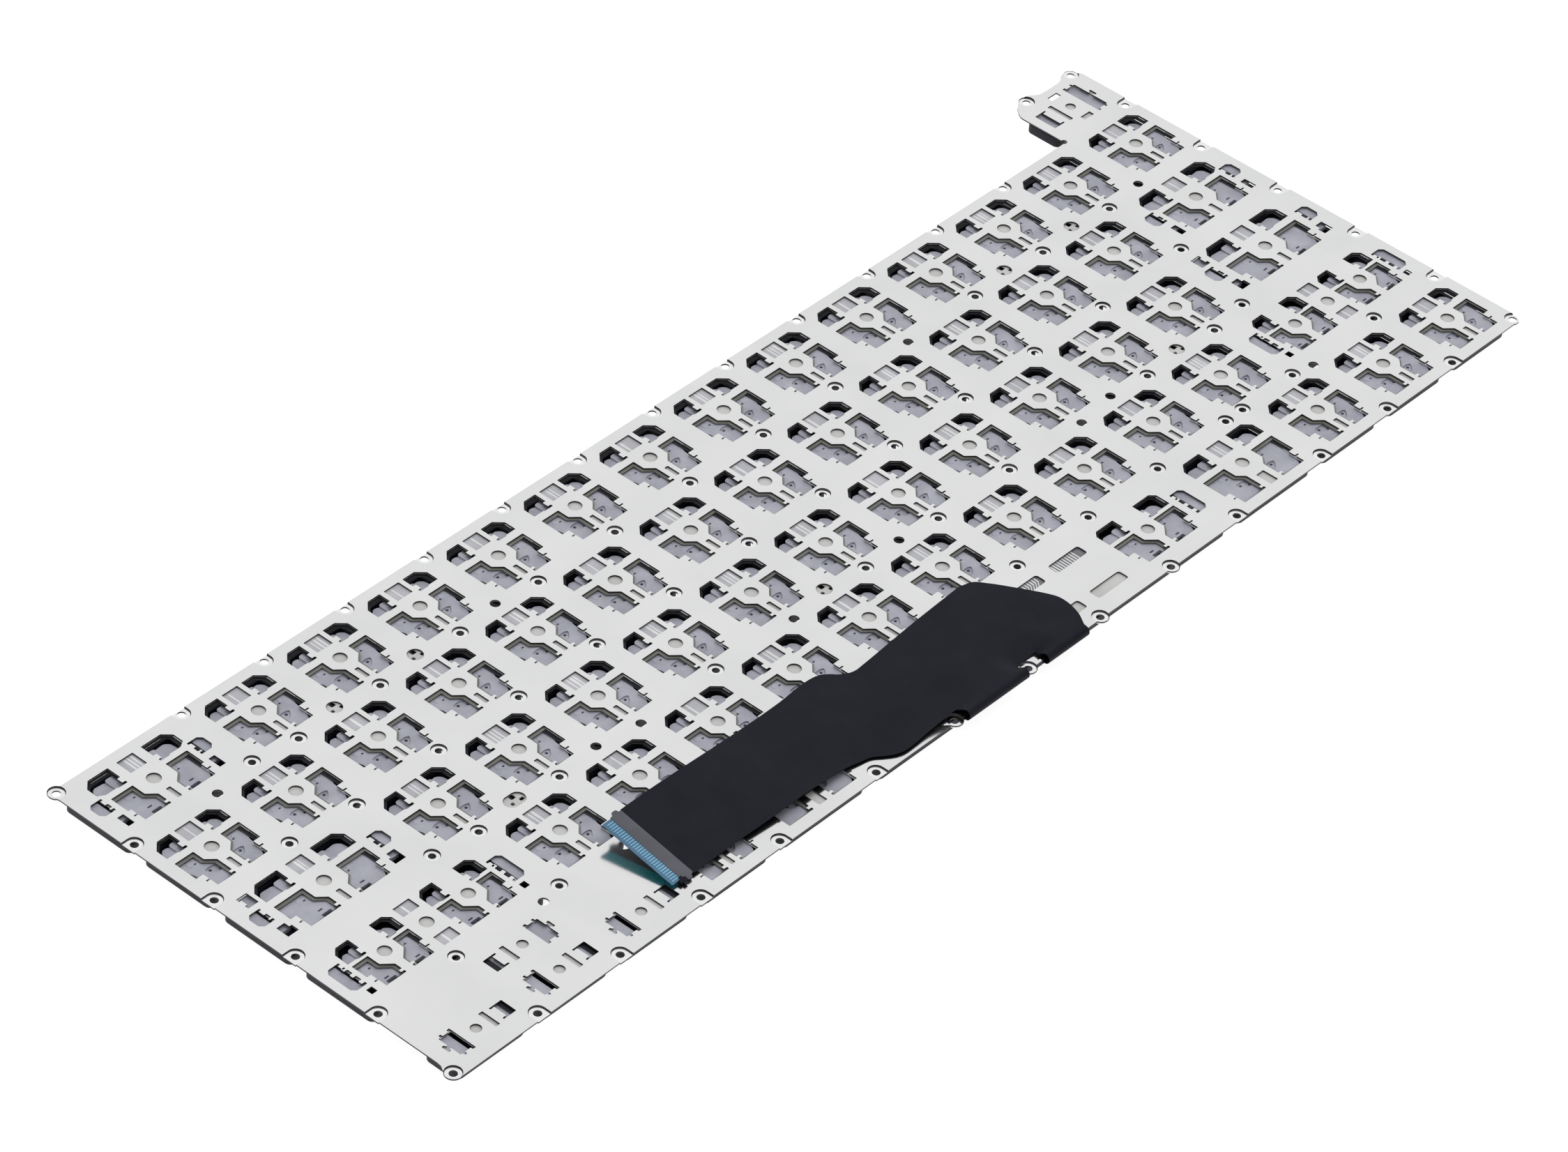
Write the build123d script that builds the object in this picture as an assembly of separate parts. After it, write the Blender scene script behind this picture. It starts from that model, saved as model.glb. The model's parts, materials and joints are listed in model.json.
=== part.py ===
"""A compact laptop keyboard lying on its keys: a stamped steel back plate, a switch membrane,
rubber domes, scissor frames, a cap for each key and a film tail folded over the plate's edge."""

import os
from math import atan2, degrees

from build123d import *

# Key grid, in millimetres. Rows run along X, counted from the Escape side (+X) to the arrow side.
KEY_PITCH = 19.0
ROW_PITCH = 18.12
KEY_GAP = 3.3
ROW_GAP = 2.8
HALF_ROW = 0.5 * ROW_PITCH

# Each row's keys as (name, width in pitches), number row first.
NUMBER_KEYS = [(f"number_{i:02d}", 1.0) for i in range(1, 14)]
UPPER_KEYS = [(f"upper_letter_{i:02d}", 1.0) for i in range(1, 13)]
MIDDLE_KEYS = [(f"middle_letter_{i:02d}", 1.0) for i in range(1, 12)]
LOWER_KEYS = [(f"lower_letter_{i:02d}", 1.0) for i in range(1, 11)]
ROWS = [
    NUMBER_KEYS + [("delete", 1.5)],
    [("tab", 1.5)] + UPPER_KEYS + [("backslash", 1.0)],
    [("caps_lock", 1.75)] + MIDDLE_KEYS + [("return", 1.75)],
    [("left_shift", 2.25)] + LOWER_KEYS + [("right_shift", 2.25)],
    [
        ("function", 1.0),
        ("control", 1.0),
        ("left_option", 1.0),
        ("left_command", 1.25),
        ("space_bar", 5.0),
        ("right_command", 1.25),
        ("right_option", 1.0),
    ],
]
ARROWS = [("left_arrow",), ("up_arrow", "down_arrow"), ("right_arrow",)]
ROW_WIDTH = sum(width for _, width in ROWS[0]) * KEY_PITCH

# Caps
CAP_HEIGHT = 1.25
CAP_CORNER = 1.1
HALF_CAP_DEPTH = 7.3
ESCAPE_CAP_WIDTH = KEY_PITCH - KEY_GAP
ESCAPE_CAP_DEPTH = 7.8
ESCAPE_RISE = 15.75

# Stack above the caps
CAP_TO_MEMBRANE = 1.95
MEMBRANE = 0.25
GLUE = 0.05
PLATE = 0.3
MEMBRANE_Z = CAP_HEIGHT + CAP_TO_MEMBRANE
PLATE_Z = MEMBRANE_Z + MEMBRANE + GLUE
BACK_Z = PLATE_Z + PLATE

# Plate outline
SIDE_MARGIN = 0.25
TOP_MARGIN = 9.1
BOTTOM_MARGIN = 9.5
PLATE_CORNER = 1.2
TAB_WIDTH = 19.0
TAB_RISE = 14.8
TAB_DIP = 1.7
TAB_DIP_WIDTH = 5.0
TAB_SLOPE = 2.3
TAB_SHOULDER = 3.4

# Screw holes of the plate
HOLE_RADIUS = 0.65
SIDE_HOLE_INSET = 1.4
SIDE_HOLE_ROWS = (0, 3)
SCREW_CLEARANCE = 0.9

# Film tail: columns are places along the rows, rises are heights above the fold line
FILM = 0.15
FOLD_RADIUS = 1.0
FOLD_OUT = 0.3
FOLD_COLUMNS = (6.54, 8.16)
NOTCH_COLUMNS = (7.14, 7.35)
NOTCH_RISE = 2.0
SIDE_COLUMNS = (6.39, 6.86)
BELLY_RISES = (6.5, 11.0)
SHOULDER_RISE = 21.2
NECK_COLUMNS = (8.45, 8.95)
NECK_RISES = (2.3, 19.9)
TWIST_COLUMNS = (9.26, 11.36)
TAIL_INSET = 5.3
TAIL_WIDTH = 16.2
TAIL_LOW = 0.6
TAIL_HIGH = 3.6
STIFFENER_LENGTH = 2.6
STIFFENER_EAR = 0.6
BLADE_LENGTH = 2.1
BLADE_INSET = 0.2
END_SHEET = 0.25

# The whole part is centred on the origin, so the number row's place follows from the outline.
FOLD_REACH = FOLD_OUT + FOLD_RADIUS + 0.5 * FILM
OVERALL_DEPTH = (len(ROWS) - 1) * ROW_PITCH + TOP_MARGIN + TAB_RISE + BOTTOM_MARGIN + FOLD_REACH
NUMBER_ROW_Y = 0.5 * OVERALL_DEPTH - TAB_RISE - TOP_MARGIN
LAST_ROW_Y = NUMBER_ROW_Y - (len(ROWS) - 1) * ROW_PITCH
PLATE_TOP = NUMBER_ROW_Y + TOP_MARGIN
PLATE_BOTTOM = LAST_ROW_Y - BOTTOM_MARGIN
PLATE_SIDE = 0.5 * ROW_WIDTH + SIDE_MARGIN
TAB_TOP = PLATE_TOP + TAB_RISE
TAIL_Y = PLATE_BOTTOM + TAIL_INSET
TAIL_TILT = degrees(atan2(TAIL_HIGH - TAIL_LOW, TAIL_WIDTH))


def column(pitches):
    """X of a place so many pitches in from the Escape side."""
    return 0.5 * ROW_WIDTH - pitches * KEY_PITCH


def key_places():
    """Every key's name, row, centre, cap width and cap depth."""
    places = []
    for row, keys in enumerate(ROWS):
        start = 0.0
        for name, width in keys:
            cap = width * KEY_PITCH - KEY_GAP
            y = NUMBER_ROW_Y - row * ROW_PITCH
            places.append((name, row, column(start + 0.5 * width), y, cap, ROW_PITCH - ROW_GAP))
            start += width
    offset = 0.5 * (ROW_PITCH - ROW_GAP - HALF_CAP_DEPTH)
    for i, names in enumerate(ARROWS):
        x = column(start + i + 0.5)
        for name in names:
            y = LAST_ROW_Y + (offset if name == "up_arrow" else -offset)
            places.append((name, len(ROWS) - 1, x, y, KEY_PITCH - KEY_GAP, HALF_CAP_DEPTH))
    escape_y = NUMBER_ROW_Y + ESCAPE_RISE
    places.append(("escape", -1, column(0.5), escape_y, ESCAPE_CAP_WIDTH, ESCAPE_CAP_DEPTH))
    return places


KEYS = key_places()

# One scissor station, measured from its centre. The upper window is its inner and outer side, bottom
# and top. The lower window is its top's inner and outer side, its foot's inner and outer side, and the
# heights of its top, of the corner where it slants towards the foot, and of its bottom.
STANDARD = dict(
    upper=(2.75, 7.15, 2.7, 6.83),
    lower=(3.03, 7.15, 1.46, 5.6, 1.14, -2.4, -7.1),
    frame=(13.0, 11.2),
)
WIDE = dict(
    upper=(3.7, 9.7, 2.4, 6.85),
    lower=(3.7, 8.8, 2.1, 7.9, 1.14, -2.6, -6.3),
    frame=(16.6, 11.2),
)
PAIRED = dict(
    upper=(2.4, 6.3, 1.8, 5.85),
    lower=(2.75, 6.3, 0.9, 5.3, 1.05, -2.6, -5.7),
    frame=(11.8, 9.4),
)
LONG = dict(
    upper=(2.7, 8.1, 2.0, 5.9),
    lower=(2.7, 8.1, 0.9, 6.6, 1.2, -2.3, -5.6),
    frame=(14.6, 9.4),
)
WIDE_KEYS = ("delete", "tab", "caps_lock", "return", "left_command", "right_command")
PAIR_SPACING = {"left_shift": KEY_PITCH, "right_shift": KEY_PITCH, "space_bar": 3.5 * KEY_PITCH}

# Windows at both ends of a wide cap, where the bar that keeps the cap level hooks into the plate.
BRACKET_KEYS = ("delete", "tab", "caps_lock", "return")
BRACKET_WIDTH = 3.0
BRACKET_HEIGHTS = (-1.25, 2.3)

# Half-height keys: hinge window beside the plate's edge side and slot window on the other side.
HALF_HINGE = (3.2, 5.9, 5.4)
HALF_SLOT = (-7.3, -4.6, 3.3)
HALF_FRAME = (12.2, 5.0)
ESCAPE_HINGE = (3.2, 5.9, 8.0)

# Scissor frames and domes
FRAME_THICK = 0.8
FRAME_LEG = 3.4
FRAME_BAR = 1.5
SEAT_CLEARANCE = 0.15
DOME_BASE = 4.6
DOME_TIP = 2.2
HALF_DOME_BASE = 1.8
HALF_DOME_TIP = 1.2

# Membrane cut-outs: one slot along each row over the upper windows and one over the lower windows.
MEMBRANE_INSET = 0.8
SLOT_END = 2.2
UPPER_SLOT = (2.9, 6.7)
LOWER_SLOT = (-6.9, -2.8)


def mechanisms():
    """Every full-height scissor station as (x, y, shape)."""
    stations = []
    for name, row, x, y, width, depth in KEYS:
        if depth < ROW_PITCH - ROW_GAP:
            continue
        if name in PAIR_SPACING:
            shape = LONG if name == "space_bar" else PAIRED
            half = 0.5 * PAIR_SPACING[name]
            stations += [(x - half, y, shape), (x + half, y, shape)]
        else:
            stations.append((x, y, WIDE if name in WIDE_KEYS else STANDARD))
    return stations


def half_keys():
    """The half-height keys' stations as (x, y, hinge window, side that the hinge is on)."""
    stations = []
    for name, row, x, y, width, depth in KEYS:
        if name == "escape":
            stations.append((x, y, ESCAPE_HINGE, 1))
        elif depth < ROW_PITCH - ROW_GAP:
            stations.append((x, y, HALF_HINGE, 1 if name == "up_arrow" else -1))
    return stations


def polygon(points):
    """A closed wire through flat points."""
    return Wire.make_polygon([Vector(x, y, 0) for x, y in points], close=True)


def box_points(x1, x2, y1, y2):
    return [(x1, y1), (x2, y1), (x2, y2), (x1, y2)]


def station_windows(x, y, shape):
    """The four windows of one scissor station, mirrored about its centre line."""
    inner, outer, low, high = shape["upper"]
    top_in, top_out, foot_in, foot_out, top, waist, bottom = shape["lower"]
    upper = box_points(inner, outer, low, high)
    lower = [
        (top_in, top),
        (top_out, top),
        (foot_out, bottom),
        (foot_in, bottom),
        (foot_in, waist),
    ]
    wires = []
    for side in (-1, 1):
        for points in (upper, lower):
            wires.append(polygon([(x + side * px, y + py) for px, py in points]))
    return wires


def half_windows(x, y, hinge, side):
    """The hinge window and the slot window of a half-height key."""
    wires = []
    for near, far, depth in (hinge, HALF_SLOT):
        points = box_points(near, far, -0.5 * depth, 0.5 * depth)
        wires.append(polygon([(x + side * px, y + py) for px, py in points]))
    return wires


def bracket_windows(x, y, width):
    """The two windows under the ends of a wide cap."""
    end = 0.5 * width
    low, high = BRACKET_HEIGHTS
    wires = []
    for left in (-end, end - BRACKET_WIDTH):
        wires.append(polygon(box_points(x + left, x + left + BRACKET_WIDTH, y + low, y + high)))
    return wires


def screw_places():
    """Screw holes by the two short edges, level with the gaps between rows."""
    places = []
    side_x = PLATE_SIDE - SIDE_HOLE_INSET
    for row in SIDE_HOLE_ROWS:
        y = NUMBER_ROW_Y - row * ROW_PITCH - HALF_ROW
        places += [(-side_x, y), (side_x, y)]
    return places


def plate_outline():
    """The plate's edge, with the Escape tab at one end and a dip between the tab's two screws."""
    dip = TAB_TOP - TAB_DIP
    dip_x = PLATE_SIDE - 0.5 * (TAB_WIDTH + TAB_DIP_WIDTH)
    inner = PLATE_SIDE - TAB_WIDTH
    points = [
        (-PLATE_SIDE, PLATE_BOTTOM),
        (PLATE_SIDE, PLATE_BOTTOM),
        (PLATE_SIDE, TAB_TOP),
        (dip_x + TAB_DIP_WIDTH + TAB_SLOPE, TAB_TOP),
        (dip_x + TAB_DIP_WIDTH, dip),
        (dip_x, dip),
        (dip_x - TAB_SLOPE, TAB_TOP),
        (inner + TAB_SHOULDER, TAB_TOP),
        (inner, TAB_TOP - TAB_SHOULDER),
        (inner, PLATE_TOP),
        (-PLATE_SIDE, PLATE_TOP),
    ]
    sheet = Face(polygon(points))
    box = sheet.bounding_box()
    ends = (box.min.X, box.max.X)
    corners = [v for v in sheet.vertices() if min(abs(v.X - end) for end in ends) < PLATE_CORNER]
    return chamfer(corners, PLATE_CORNER).face().outer_wire()


def sheet_solid(outline, openings, z, thickness):
    """A flat sheet with openings, lying on the height z."""
    return Pos(0, 0, z) * extrude(Face(outline, openings), thickness, dir=(0, 0, 1))


def base_plate():
    """The stamped sheet with every station's windows and the edge screws' holes."""
    windows = []
    for x, y, shape in mechanisms():
        windows += station_windows(x, y, shape)
    for x, y, hinge, side in half_keys():
        windows += half_windows(x, y, hinge, side)
    for name, row, x, y, width, depth in KEYS:
        if name in BRACKET_KEYS:
            windows += bracket_windows(x, y, width)
    for x, y in screw_places():
        windows.append(Wire.make_circle(HOLE_RADIUS, Plane((x, y, 0))))
    return sheet_solid(plate_outline(), windows, PLATE_Z, PLATE)


def membrane():
    """The switch sheet under the plate, cut away in two long slots along each row and at the screws."""
    side = PLATE_SIDE - MEMBRANE_INSET
    low = PLATE_BOTTOM + MEMBRANE_INSET
    high = PLATE_TOP - MEMBRANE_INSET
    tab_in = PLATE_SIDE - TAB_WIDTH + MEMBRANE_INSET
    tab_top = NUMBER_ROW_Y + ESCAPE_RISE + 0.5 * ESCAPE_CAP_DEPTH
    notch = HOLE_RADIUS + SCREW_CLEARANCE
    notch_x = PLATE_SIDE - SIDE_HOLE_INSET - notch
    right = []
    for y in sorted(y for x, y in screw_places() if x > 0):
        right += [(side, y - notch), (notch_x, y - notch), (notch_x, y + notch), (side, y + notch)]
    left = [(-x, y) for x, y in reversed(right)]
    tab = [(side, tab_top), (tab_in, tab_top), (tab_in, high)]
    edge = [(-side, low), (side, low)] + right + tab + [(-side, high)] + left
    slots = []
    for row in range(len(ROWS)):
        y = NUMBER_ROW_Y - row * ROW_PITCH
        start = 0.5 * ROW_WIDTH - SLOT_END
        end = column(sum(width for _, width in ROWS[row])) + SLOT_END
        for low, high in (UPPER_SLOT, LOWER_SLOT):
            slots.append(polygon(box_points(end, start, y + low, y + high)))
    return sheet_solid(polygon(edge), slots, MEMBRANE_Z, MEMBRANE)


def scissor_frames():
    """A U-shaped frame round each dome, tilted: its bar is by the membrane, its legs' ends by the cap."""
    frames = []
    stations = [(x, y, shape["frame"]) for x, y, shape in mechanisms()]
    stations += [(x, y, HALF_FRAME) for x, y, hinge, side in half_keys()]
    room = CAP_TO_MEMBRANE - 2 * SEAT_CLEARANCE - FRAME_THICK
    for x, y, (width, depth) in stations:
        out_x = 0.5 * width
        in_x = out_x - FRAME_LEG
        low = -0.5 * depth
        high = 0.5 * depth
        bar = low + FRAME_BAR
        points = box_points(-out_x, out_x, low, high)
        points += [(-in_x, high), (-in_x, bar), (in_x, bar), (in_x, high)]
        outline = polygon(points[:3] + points[:3:-1] + points[3:4])
        frame = sheet_solid(outline, [], -0.5 * FRAME_THICK, FRAME_THICK)
        middle = Pos(x, y, CAP_HEIGHT + 0.5 * CAP_TO_MEMBRANE)
        frames.append(middle * Rot(X=-degrees(atan2(room, depth))) * frame)
    return Compound(children=frames)


def rubber_domes():
    """A tapered spring dome under the middle of each cap, glued to the membrane."""
    domes = []
    height = CAP_TO_MEMBRANE - SEAT_CLEARANCE
    for name, row, x, y, width, depth in KEYS:
        full = depth > ESCAPE_CAP_DEPTH
        base = DOME_BASE if full else HALF_DOME_BASE
        tip = DOME_TIP if full else HALF_DOME_TIP
        step = 0.5 * (base - tip)
        dome = Wedge(base, height, base, step, step, step + tip, step + tip)
        domes.append(Pos(x, y, MEMBRANE_Z - 0.5 * height) * Rot(X=-90) * dome)
    return Compound(children=domes)


def keycap(x, y, width, depth):
    """One cap with its four corners cut, top face down on the ground plane."""
    top = chamfer(Rectangle(width, depth).vertices(), CAP_CORNER)
    return Pos(x, y, 0) * extrude(top, CAP_HEIGHT, dir=(0, 0, 1))


def twisted_film(start_x, end_x, height):
    """The tail's last stretch: two flat facets that meet along a slant, so that the film's end leans."""
    top = TAIL_Y + TAIL_WIDTH
    near_low = Vector(start_x, TAIL_Y, height)
    near_high = Vector(start_x, top, height)
    far_low = Vector(end_x, TAIL_Y, BACK_Z + TAIL_LOW)
    far_high = Vector(end_x, top, BACK_Z + TAIL_HIGH)
    facets = []
    for corners in ((near_low, near_high, far_high), (near_low, far_high, far_low)):
        facet = Face(Wire.make_polygon(corners, close=True))
        facets.append(Pos(0, 0, -0.5 * FILM) * extrude(facet, FILM, dir=(0, 0, 1)))
    return facets[0] + facets[1]


def ribbon_cable():
    """The film tail: out of the membrane, round the plate's bottom edge, along the plate, then twisted
    so that its end stands up on one side."""
    right, left = (column(place) for place in FOLD_COLUMNS)
    fold_y = PLATE_BOTTOM - FOLD_OUT
    low_z = MEMBRANE_Z + 0.5 * MEMBRANE
    flat_z = low_z + 2 * FOLD_RADIUS
    twist_x, end_x = (column(place) for place in TWIST_COLUMNS)
    notch_right, notch_left = (column(place) for place in NOTCH_COLUMNS)
    belly_x, shoulder_x = (column(place) for place in SIDE_COLUMNS)
    neck_right, neck_left = (column(place) for place in NECK_COLUMNS)
    outline = [
        (twist_x, TAIL_Y),
        (neck_left, fold_y + NECK_RISES[0]),
        (left, fold_y + NECK_RISES[0]),
        (left, fold_y),
        (notch_left, fold_y),
        (notch_left, fold_y + NOTCH_RISE),
        (notch_right, fold_y + NOTCH_RISE),
        (notch_right, fold_y),
        (right, fold_y),
        (belly_x, fold_y + BELLY_RISES[0]),
        (belly_x, fold_y + BELLY_RISES[1]),
        (shoulder_x, fold_y + SHOULDER_RISE),
        (neck_right, fold_y + NECK_RISES[1]),
        (neck_left, TAIL_Y + TAIL_WIDTH),
        (twist_x, TAIL_Y + TAIL_WIDTH),
    ]
    film = sheet_solid(polygon(outline), [], flat_z - 0.5 * FILM, FILM)
    film += twisted_film(twist_x, end_x, flat_z)
    for x1, x2 in ((left, notch_left), (notch_right, right)):
        middle = 0.5 * (x1 + x2)
        length = x2 - x1
        tube = Cylinder(FOLD_RADIUS + 0.5 * FILM, length) - Cylinder(FOLD_RADIUS - 0.5 * FILM, length)
        bend_z = low_z + FOLD_RADIUS
        beyond = Box(length, 4 * FOLD_RADIUS, 4 * FOLD_RADIUS)
        film += (Pos(middle, fold_y, bend_z) * Rot(Y=90) * tube) & (
            Pos(middle, fold_y - 2 * FOLD_RADIUS, bend_z) * beyond
        )
        lip = PLATE_BOTTOM + MEMBRANE_INSET - fold_y
        film += Pos(middle, fold_y + 0.5 * lip, low_z) * Box(length, lip, FILM)
    return film


def tail_end_plate(x1, x2, width):
    """A flat strip across the tail's end, in line with the film's tilted end."""
    height = BACK_Z + 0.5 * (TAIL_LOW + TAIL_HIGH)
    place = Pos(0.5 * (x1 + x2), TAIL_Y + 0.5 * TAIL_WIDTH, height) * Rot(X=TAIL_TILT)
    return place * Box(x2 - x1, width, END_SHEET)


def build():
    """Every node's solid by name."""
    film_end = column(TWIST_COLUMNS[1])
    stiffener_end = film_end - STIFFENER_LENGTH
    blade_end = stiffener_end - BLADE_LENGTH
    nodes = {
        "base_plate": base_plate(),
        "membrane": membrane(),
        "scissor_frames": scissor_frames(),
        "rubber_domes": rubber_domes(),
        "ribbon_cable": ribbon_cable(),
        "cable_stiffener": tail_end_plate(stiffener_end, film_end, TAIL_WIDTH + 2 * STIFFENER_EAR),
        "contact_blade": tail_end_plate(blade_end, stiffener_end, TAIL_WIDTH - 2 * BLADE_INSET),
    }
    number_caps = []
    for name, row, x, y, width, depth in KEYS:
        if name.startswith("number_"):
            number_caps.append(keycap(x, y, width, depth))
        else:
            nodes[f"{name}_keycap"] = keycap(x, y, width, depth)
    nodes["number_row_keycaps"] = Compound(children=number_caps)
    return nodes


os.makedirs("parts", exist_ok=True)
for node, solid in build().items():
    export_step(solid, f"parts/{node}.step")
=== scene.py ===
"""Looks of a compact laptop keyboard that lies on its keys, with its stamped steel back plate up."""

import json
import random
from math import atan2, cos, hypot, pi, sin

import bpy
import numpy as np
from mathutils import Matrix, Vector
from mathutils.geometry import delaunay_2d_cdt


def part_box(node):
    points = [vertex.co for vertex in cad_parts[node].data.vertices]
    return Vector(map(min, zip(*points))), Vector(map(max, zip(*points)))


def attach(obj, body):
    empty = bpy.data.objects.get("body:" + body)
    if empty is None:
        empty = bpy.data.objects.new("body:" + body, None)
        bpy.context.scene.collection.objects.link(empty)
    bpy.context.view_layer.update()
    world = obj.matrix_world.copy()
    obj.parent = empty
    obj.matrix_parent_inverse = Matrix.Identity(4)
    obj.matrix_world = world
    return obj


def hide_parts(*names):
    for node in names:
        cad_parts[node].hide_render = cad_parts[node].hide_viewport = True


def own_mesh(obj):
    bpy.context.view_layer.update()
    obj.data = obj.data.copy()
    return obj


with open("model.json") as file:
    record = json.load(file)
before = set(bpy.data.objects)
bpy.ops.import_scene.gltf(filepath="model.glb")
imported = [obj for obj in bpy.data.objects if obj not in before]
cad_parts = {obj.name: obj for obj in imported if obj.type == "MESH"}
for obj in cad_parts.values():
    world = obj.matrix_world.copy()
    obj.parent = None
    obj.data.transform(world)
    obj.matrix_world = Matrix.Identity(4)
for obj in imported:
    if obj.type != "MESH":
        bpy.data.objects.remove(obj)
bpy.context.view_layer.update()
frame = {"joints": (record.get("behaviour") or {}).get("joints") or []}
MM = 0.001
BASE = "keyboard_base"

# Everything is measured in millimetres from the Escape end of the number row: x along the row, y across
# it, z from the ground. The first few values come from the frame.
number_low, number_high = (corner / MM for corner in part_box("number_row_keycaps"))
first_low, first_high = (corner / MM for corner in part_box("upper_letter_01_keycap"))
second_low, _ = (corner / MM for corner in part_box("upper_letter_02_keycap"))
plate_low, plate_high = (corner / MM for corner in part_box("base_plate"))
membrane_low, membrane_high = (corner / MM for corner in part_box("membrane"))
PITCH = first_low.x - second_low.x
KEY_GAP = PITCH - (first_high.x - first_low.x)
GRID_X = number_high.x + 0.5 * KEY_GAP
GRID_Y = 0.5 * (number_low.y + number_high.y)
ROW = GRID_Y - 0.5 * (first_low.y + first_high.y)
CAP_DEPTH = first_high.y - first_low.y
CAP_HEIGHT = first_high.z
LEFT = plate_low.x - GRID_X
RIGHT = plate_high.x - GRID_X
BOTTOM = plate_low.y - GRID_Y
TAB_TOP = plate_high.y - GRID_Y
TOP = 9.1
BACK = plate_high.z
SHEET = plate_high.z - plate_low.z

# Corners of the windows, and the small hooks, sills and nicks in their sides
WINDOW_CORNER = 0.12
SLOT_CORNER = 0.2
HOOK = 0.7
HOOK_RISE = 0.32
HOOK_HEIGHT = 1.23
SILL = 0.2
SILL_SLANT = (1.9, 2.2)
NICK = (0.75, 0.16)
NICK_SHARE = 0.45
FOOT_HOOK = ((0.0, 0.5), (HOOK, 0.5), (HOOK, 1.05), (0.0, 1.05))

# Scissor stations, from their centre. The upper pair of windows: inner and outer side, bottom, top, and
# how much their top and bottom outer corners are cut. The lower pair: inner and outer side at the top
# and at the foot, heights of the top, the slant's start and end, the step and the bottom. Then the
# window over the tracks, the hole over the switch, the slot below it, and whether the hinge has a bowl.
STANDARD = dict(
    upper=(2.75, 7.15, 2.79, 6.83, 1.6, 0.0),
    lower=(3.03, 7.15, 1.46, 5.59, 1.14, -1.27, -2.73, -3.77, -7.1),
    tracks=(1.78, 3.43, 6.8),
    switch=1.28,
    slot=(0.45, -6.57, -3.68),
    bowl=True,
)
ROW_END = dict(STANDARD, slot=(0.5, -6.75, -3.75))
WIDE = dict(
    upper=(3.7, 9.65, 2.4, 6.9, 1.5, 1.3),
    lower=(3.7, 8.5, 2.07, 7.85, 1.1, -1.7, -3.2, -2.9, -6.2),
    tracks=(1.8, 3.4, 6.85),
    switch=1.3,
    slot=(0.47, -6.1, -3.2),
    bowl=False,
)
WIDER = dict(
    upper=(3.7, 10.15, 2.7, 6.95, 1.5, 0.0),
    lower=(3.75, 10.15, 2.15, 8.95, 1.14, -1.75, -3.2, -2.7, -6.1),
    tracks=(1.8, 3.6, 6.95),
    switch=1.3,
    slot=(0.48, -5.9, -3.0),
    bowl=False,
)
COMMAND = dict(
    upper=(3.75, 9.6, 2.75, 6.85, 1.5, 0.0),
    lower=(3.75, 9.6, 2.4, 8.3, 1.14, -1.5, -2.8, -3.8, -7.2),
    tracks=(1.85, 3.4, 6.8),
    switch=1.28,
    slot=(1.0, -7.2, -3.85),
    bowl=True,
)
PLAIN = dict(tracks=None, switch=1.25, slot=None, bowl=False)
PAIRED = dict(
    PLAIN,
    upper=(2.35, 6.35, 1.8, 5.85, 1.2, 0.0),
    lower=(2.75, 6.3, 0.9, 5.4, 1.05, -1.5, -3.2, -2.3, -5.7),
)
LONG = dict(
    PLAIN,
    upper=(2.7, 8.15, 1.8, 5.75, 1.0, 0.0),
    lower=(2.7, 8.15, 0.9, 6.65, 1.0, -1.4, -3.1, -2.4, -5.75),
)
SHAPES = {
    "delete": WIDE,
    "tab": WIDE,
    "caps_lock": WIDER,
    "return": WIDER,
    "left_command": COMMAND,
    "right_command": COMMAND,
    "left_shift": PAIRED,
    "right_shift": PAIRED,
    "space_bar": LONG,
}
PAIR_SPACING = {"left_shift": 1.0 * PITCH, "right_shift": 1.0 * PITCH, "space_bar": 3.5 * PITCH}
HALF_STRIP = (5.4, 6.65)
HALF_STRIPS = {"up_arrow": (-5.95, -4.9), "escape": (-7.0, -5.3)}
HALF_KEYS = {"left_arrow": -1, "down_arrow": -1, "right_arrow": -1, "up_arrow": 1, "escape": 1}
HALF_EAR = [(5.9, -0.35), (6.3, -0.35), (6.3, -0.75), (6.85, -0.75)]
HALF_EAR += [(6.85, 0.85), (6.3, 0.85), (6.3, 0.45), (5.9, 0.45)]

# Switch hole, track windows and tracks in the middle of the shift keys
SHIFT_SWITCH = 1.28
SHIFT_HALF = 1.85
SHIFT_WINDOWS = ((-5.7, -3.2), (3.3, 5.8))
SHIFT_TRACK = (0.35, 0.1)
SHIFT_TRACKS = ((-6.2, -2.8), (2.9, 6.2))

# Windows at the ends of wide caps, for the bars that keep the caps level
BRACKET_WIDTH = 3.0
BRACKET_SPANS = {
    "delete": (-1.25, 2.3),
    "tab": (-1.1, 2.5),
    "caps_lock": (-1.0, 2.75),
    "return": (-1.05, 2.5),
    "left_shift": (-3.3, 3.1),
    "right_shift": (-3.3, 3.1),
    "space_bar": (-3.3, 3.1),
}

# One more window at the left end of two wide caps: its left side and the side its plate hook comes from
CATCH_WINDOWS = {"caps_lock": (-13.65, 1), "return": (-13.2, -1)}
CATCH_FOOT = 3.7
CATCH_WIDTH = 2.3
CATCH_PLAN = [(0, 0), (2.3, 0), (2.3, 0.75), (1.8, 0.75), (1.8, 2.05), (2.3, 2.05), (2.3, 2.8), (0, 2.8)]

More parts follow.
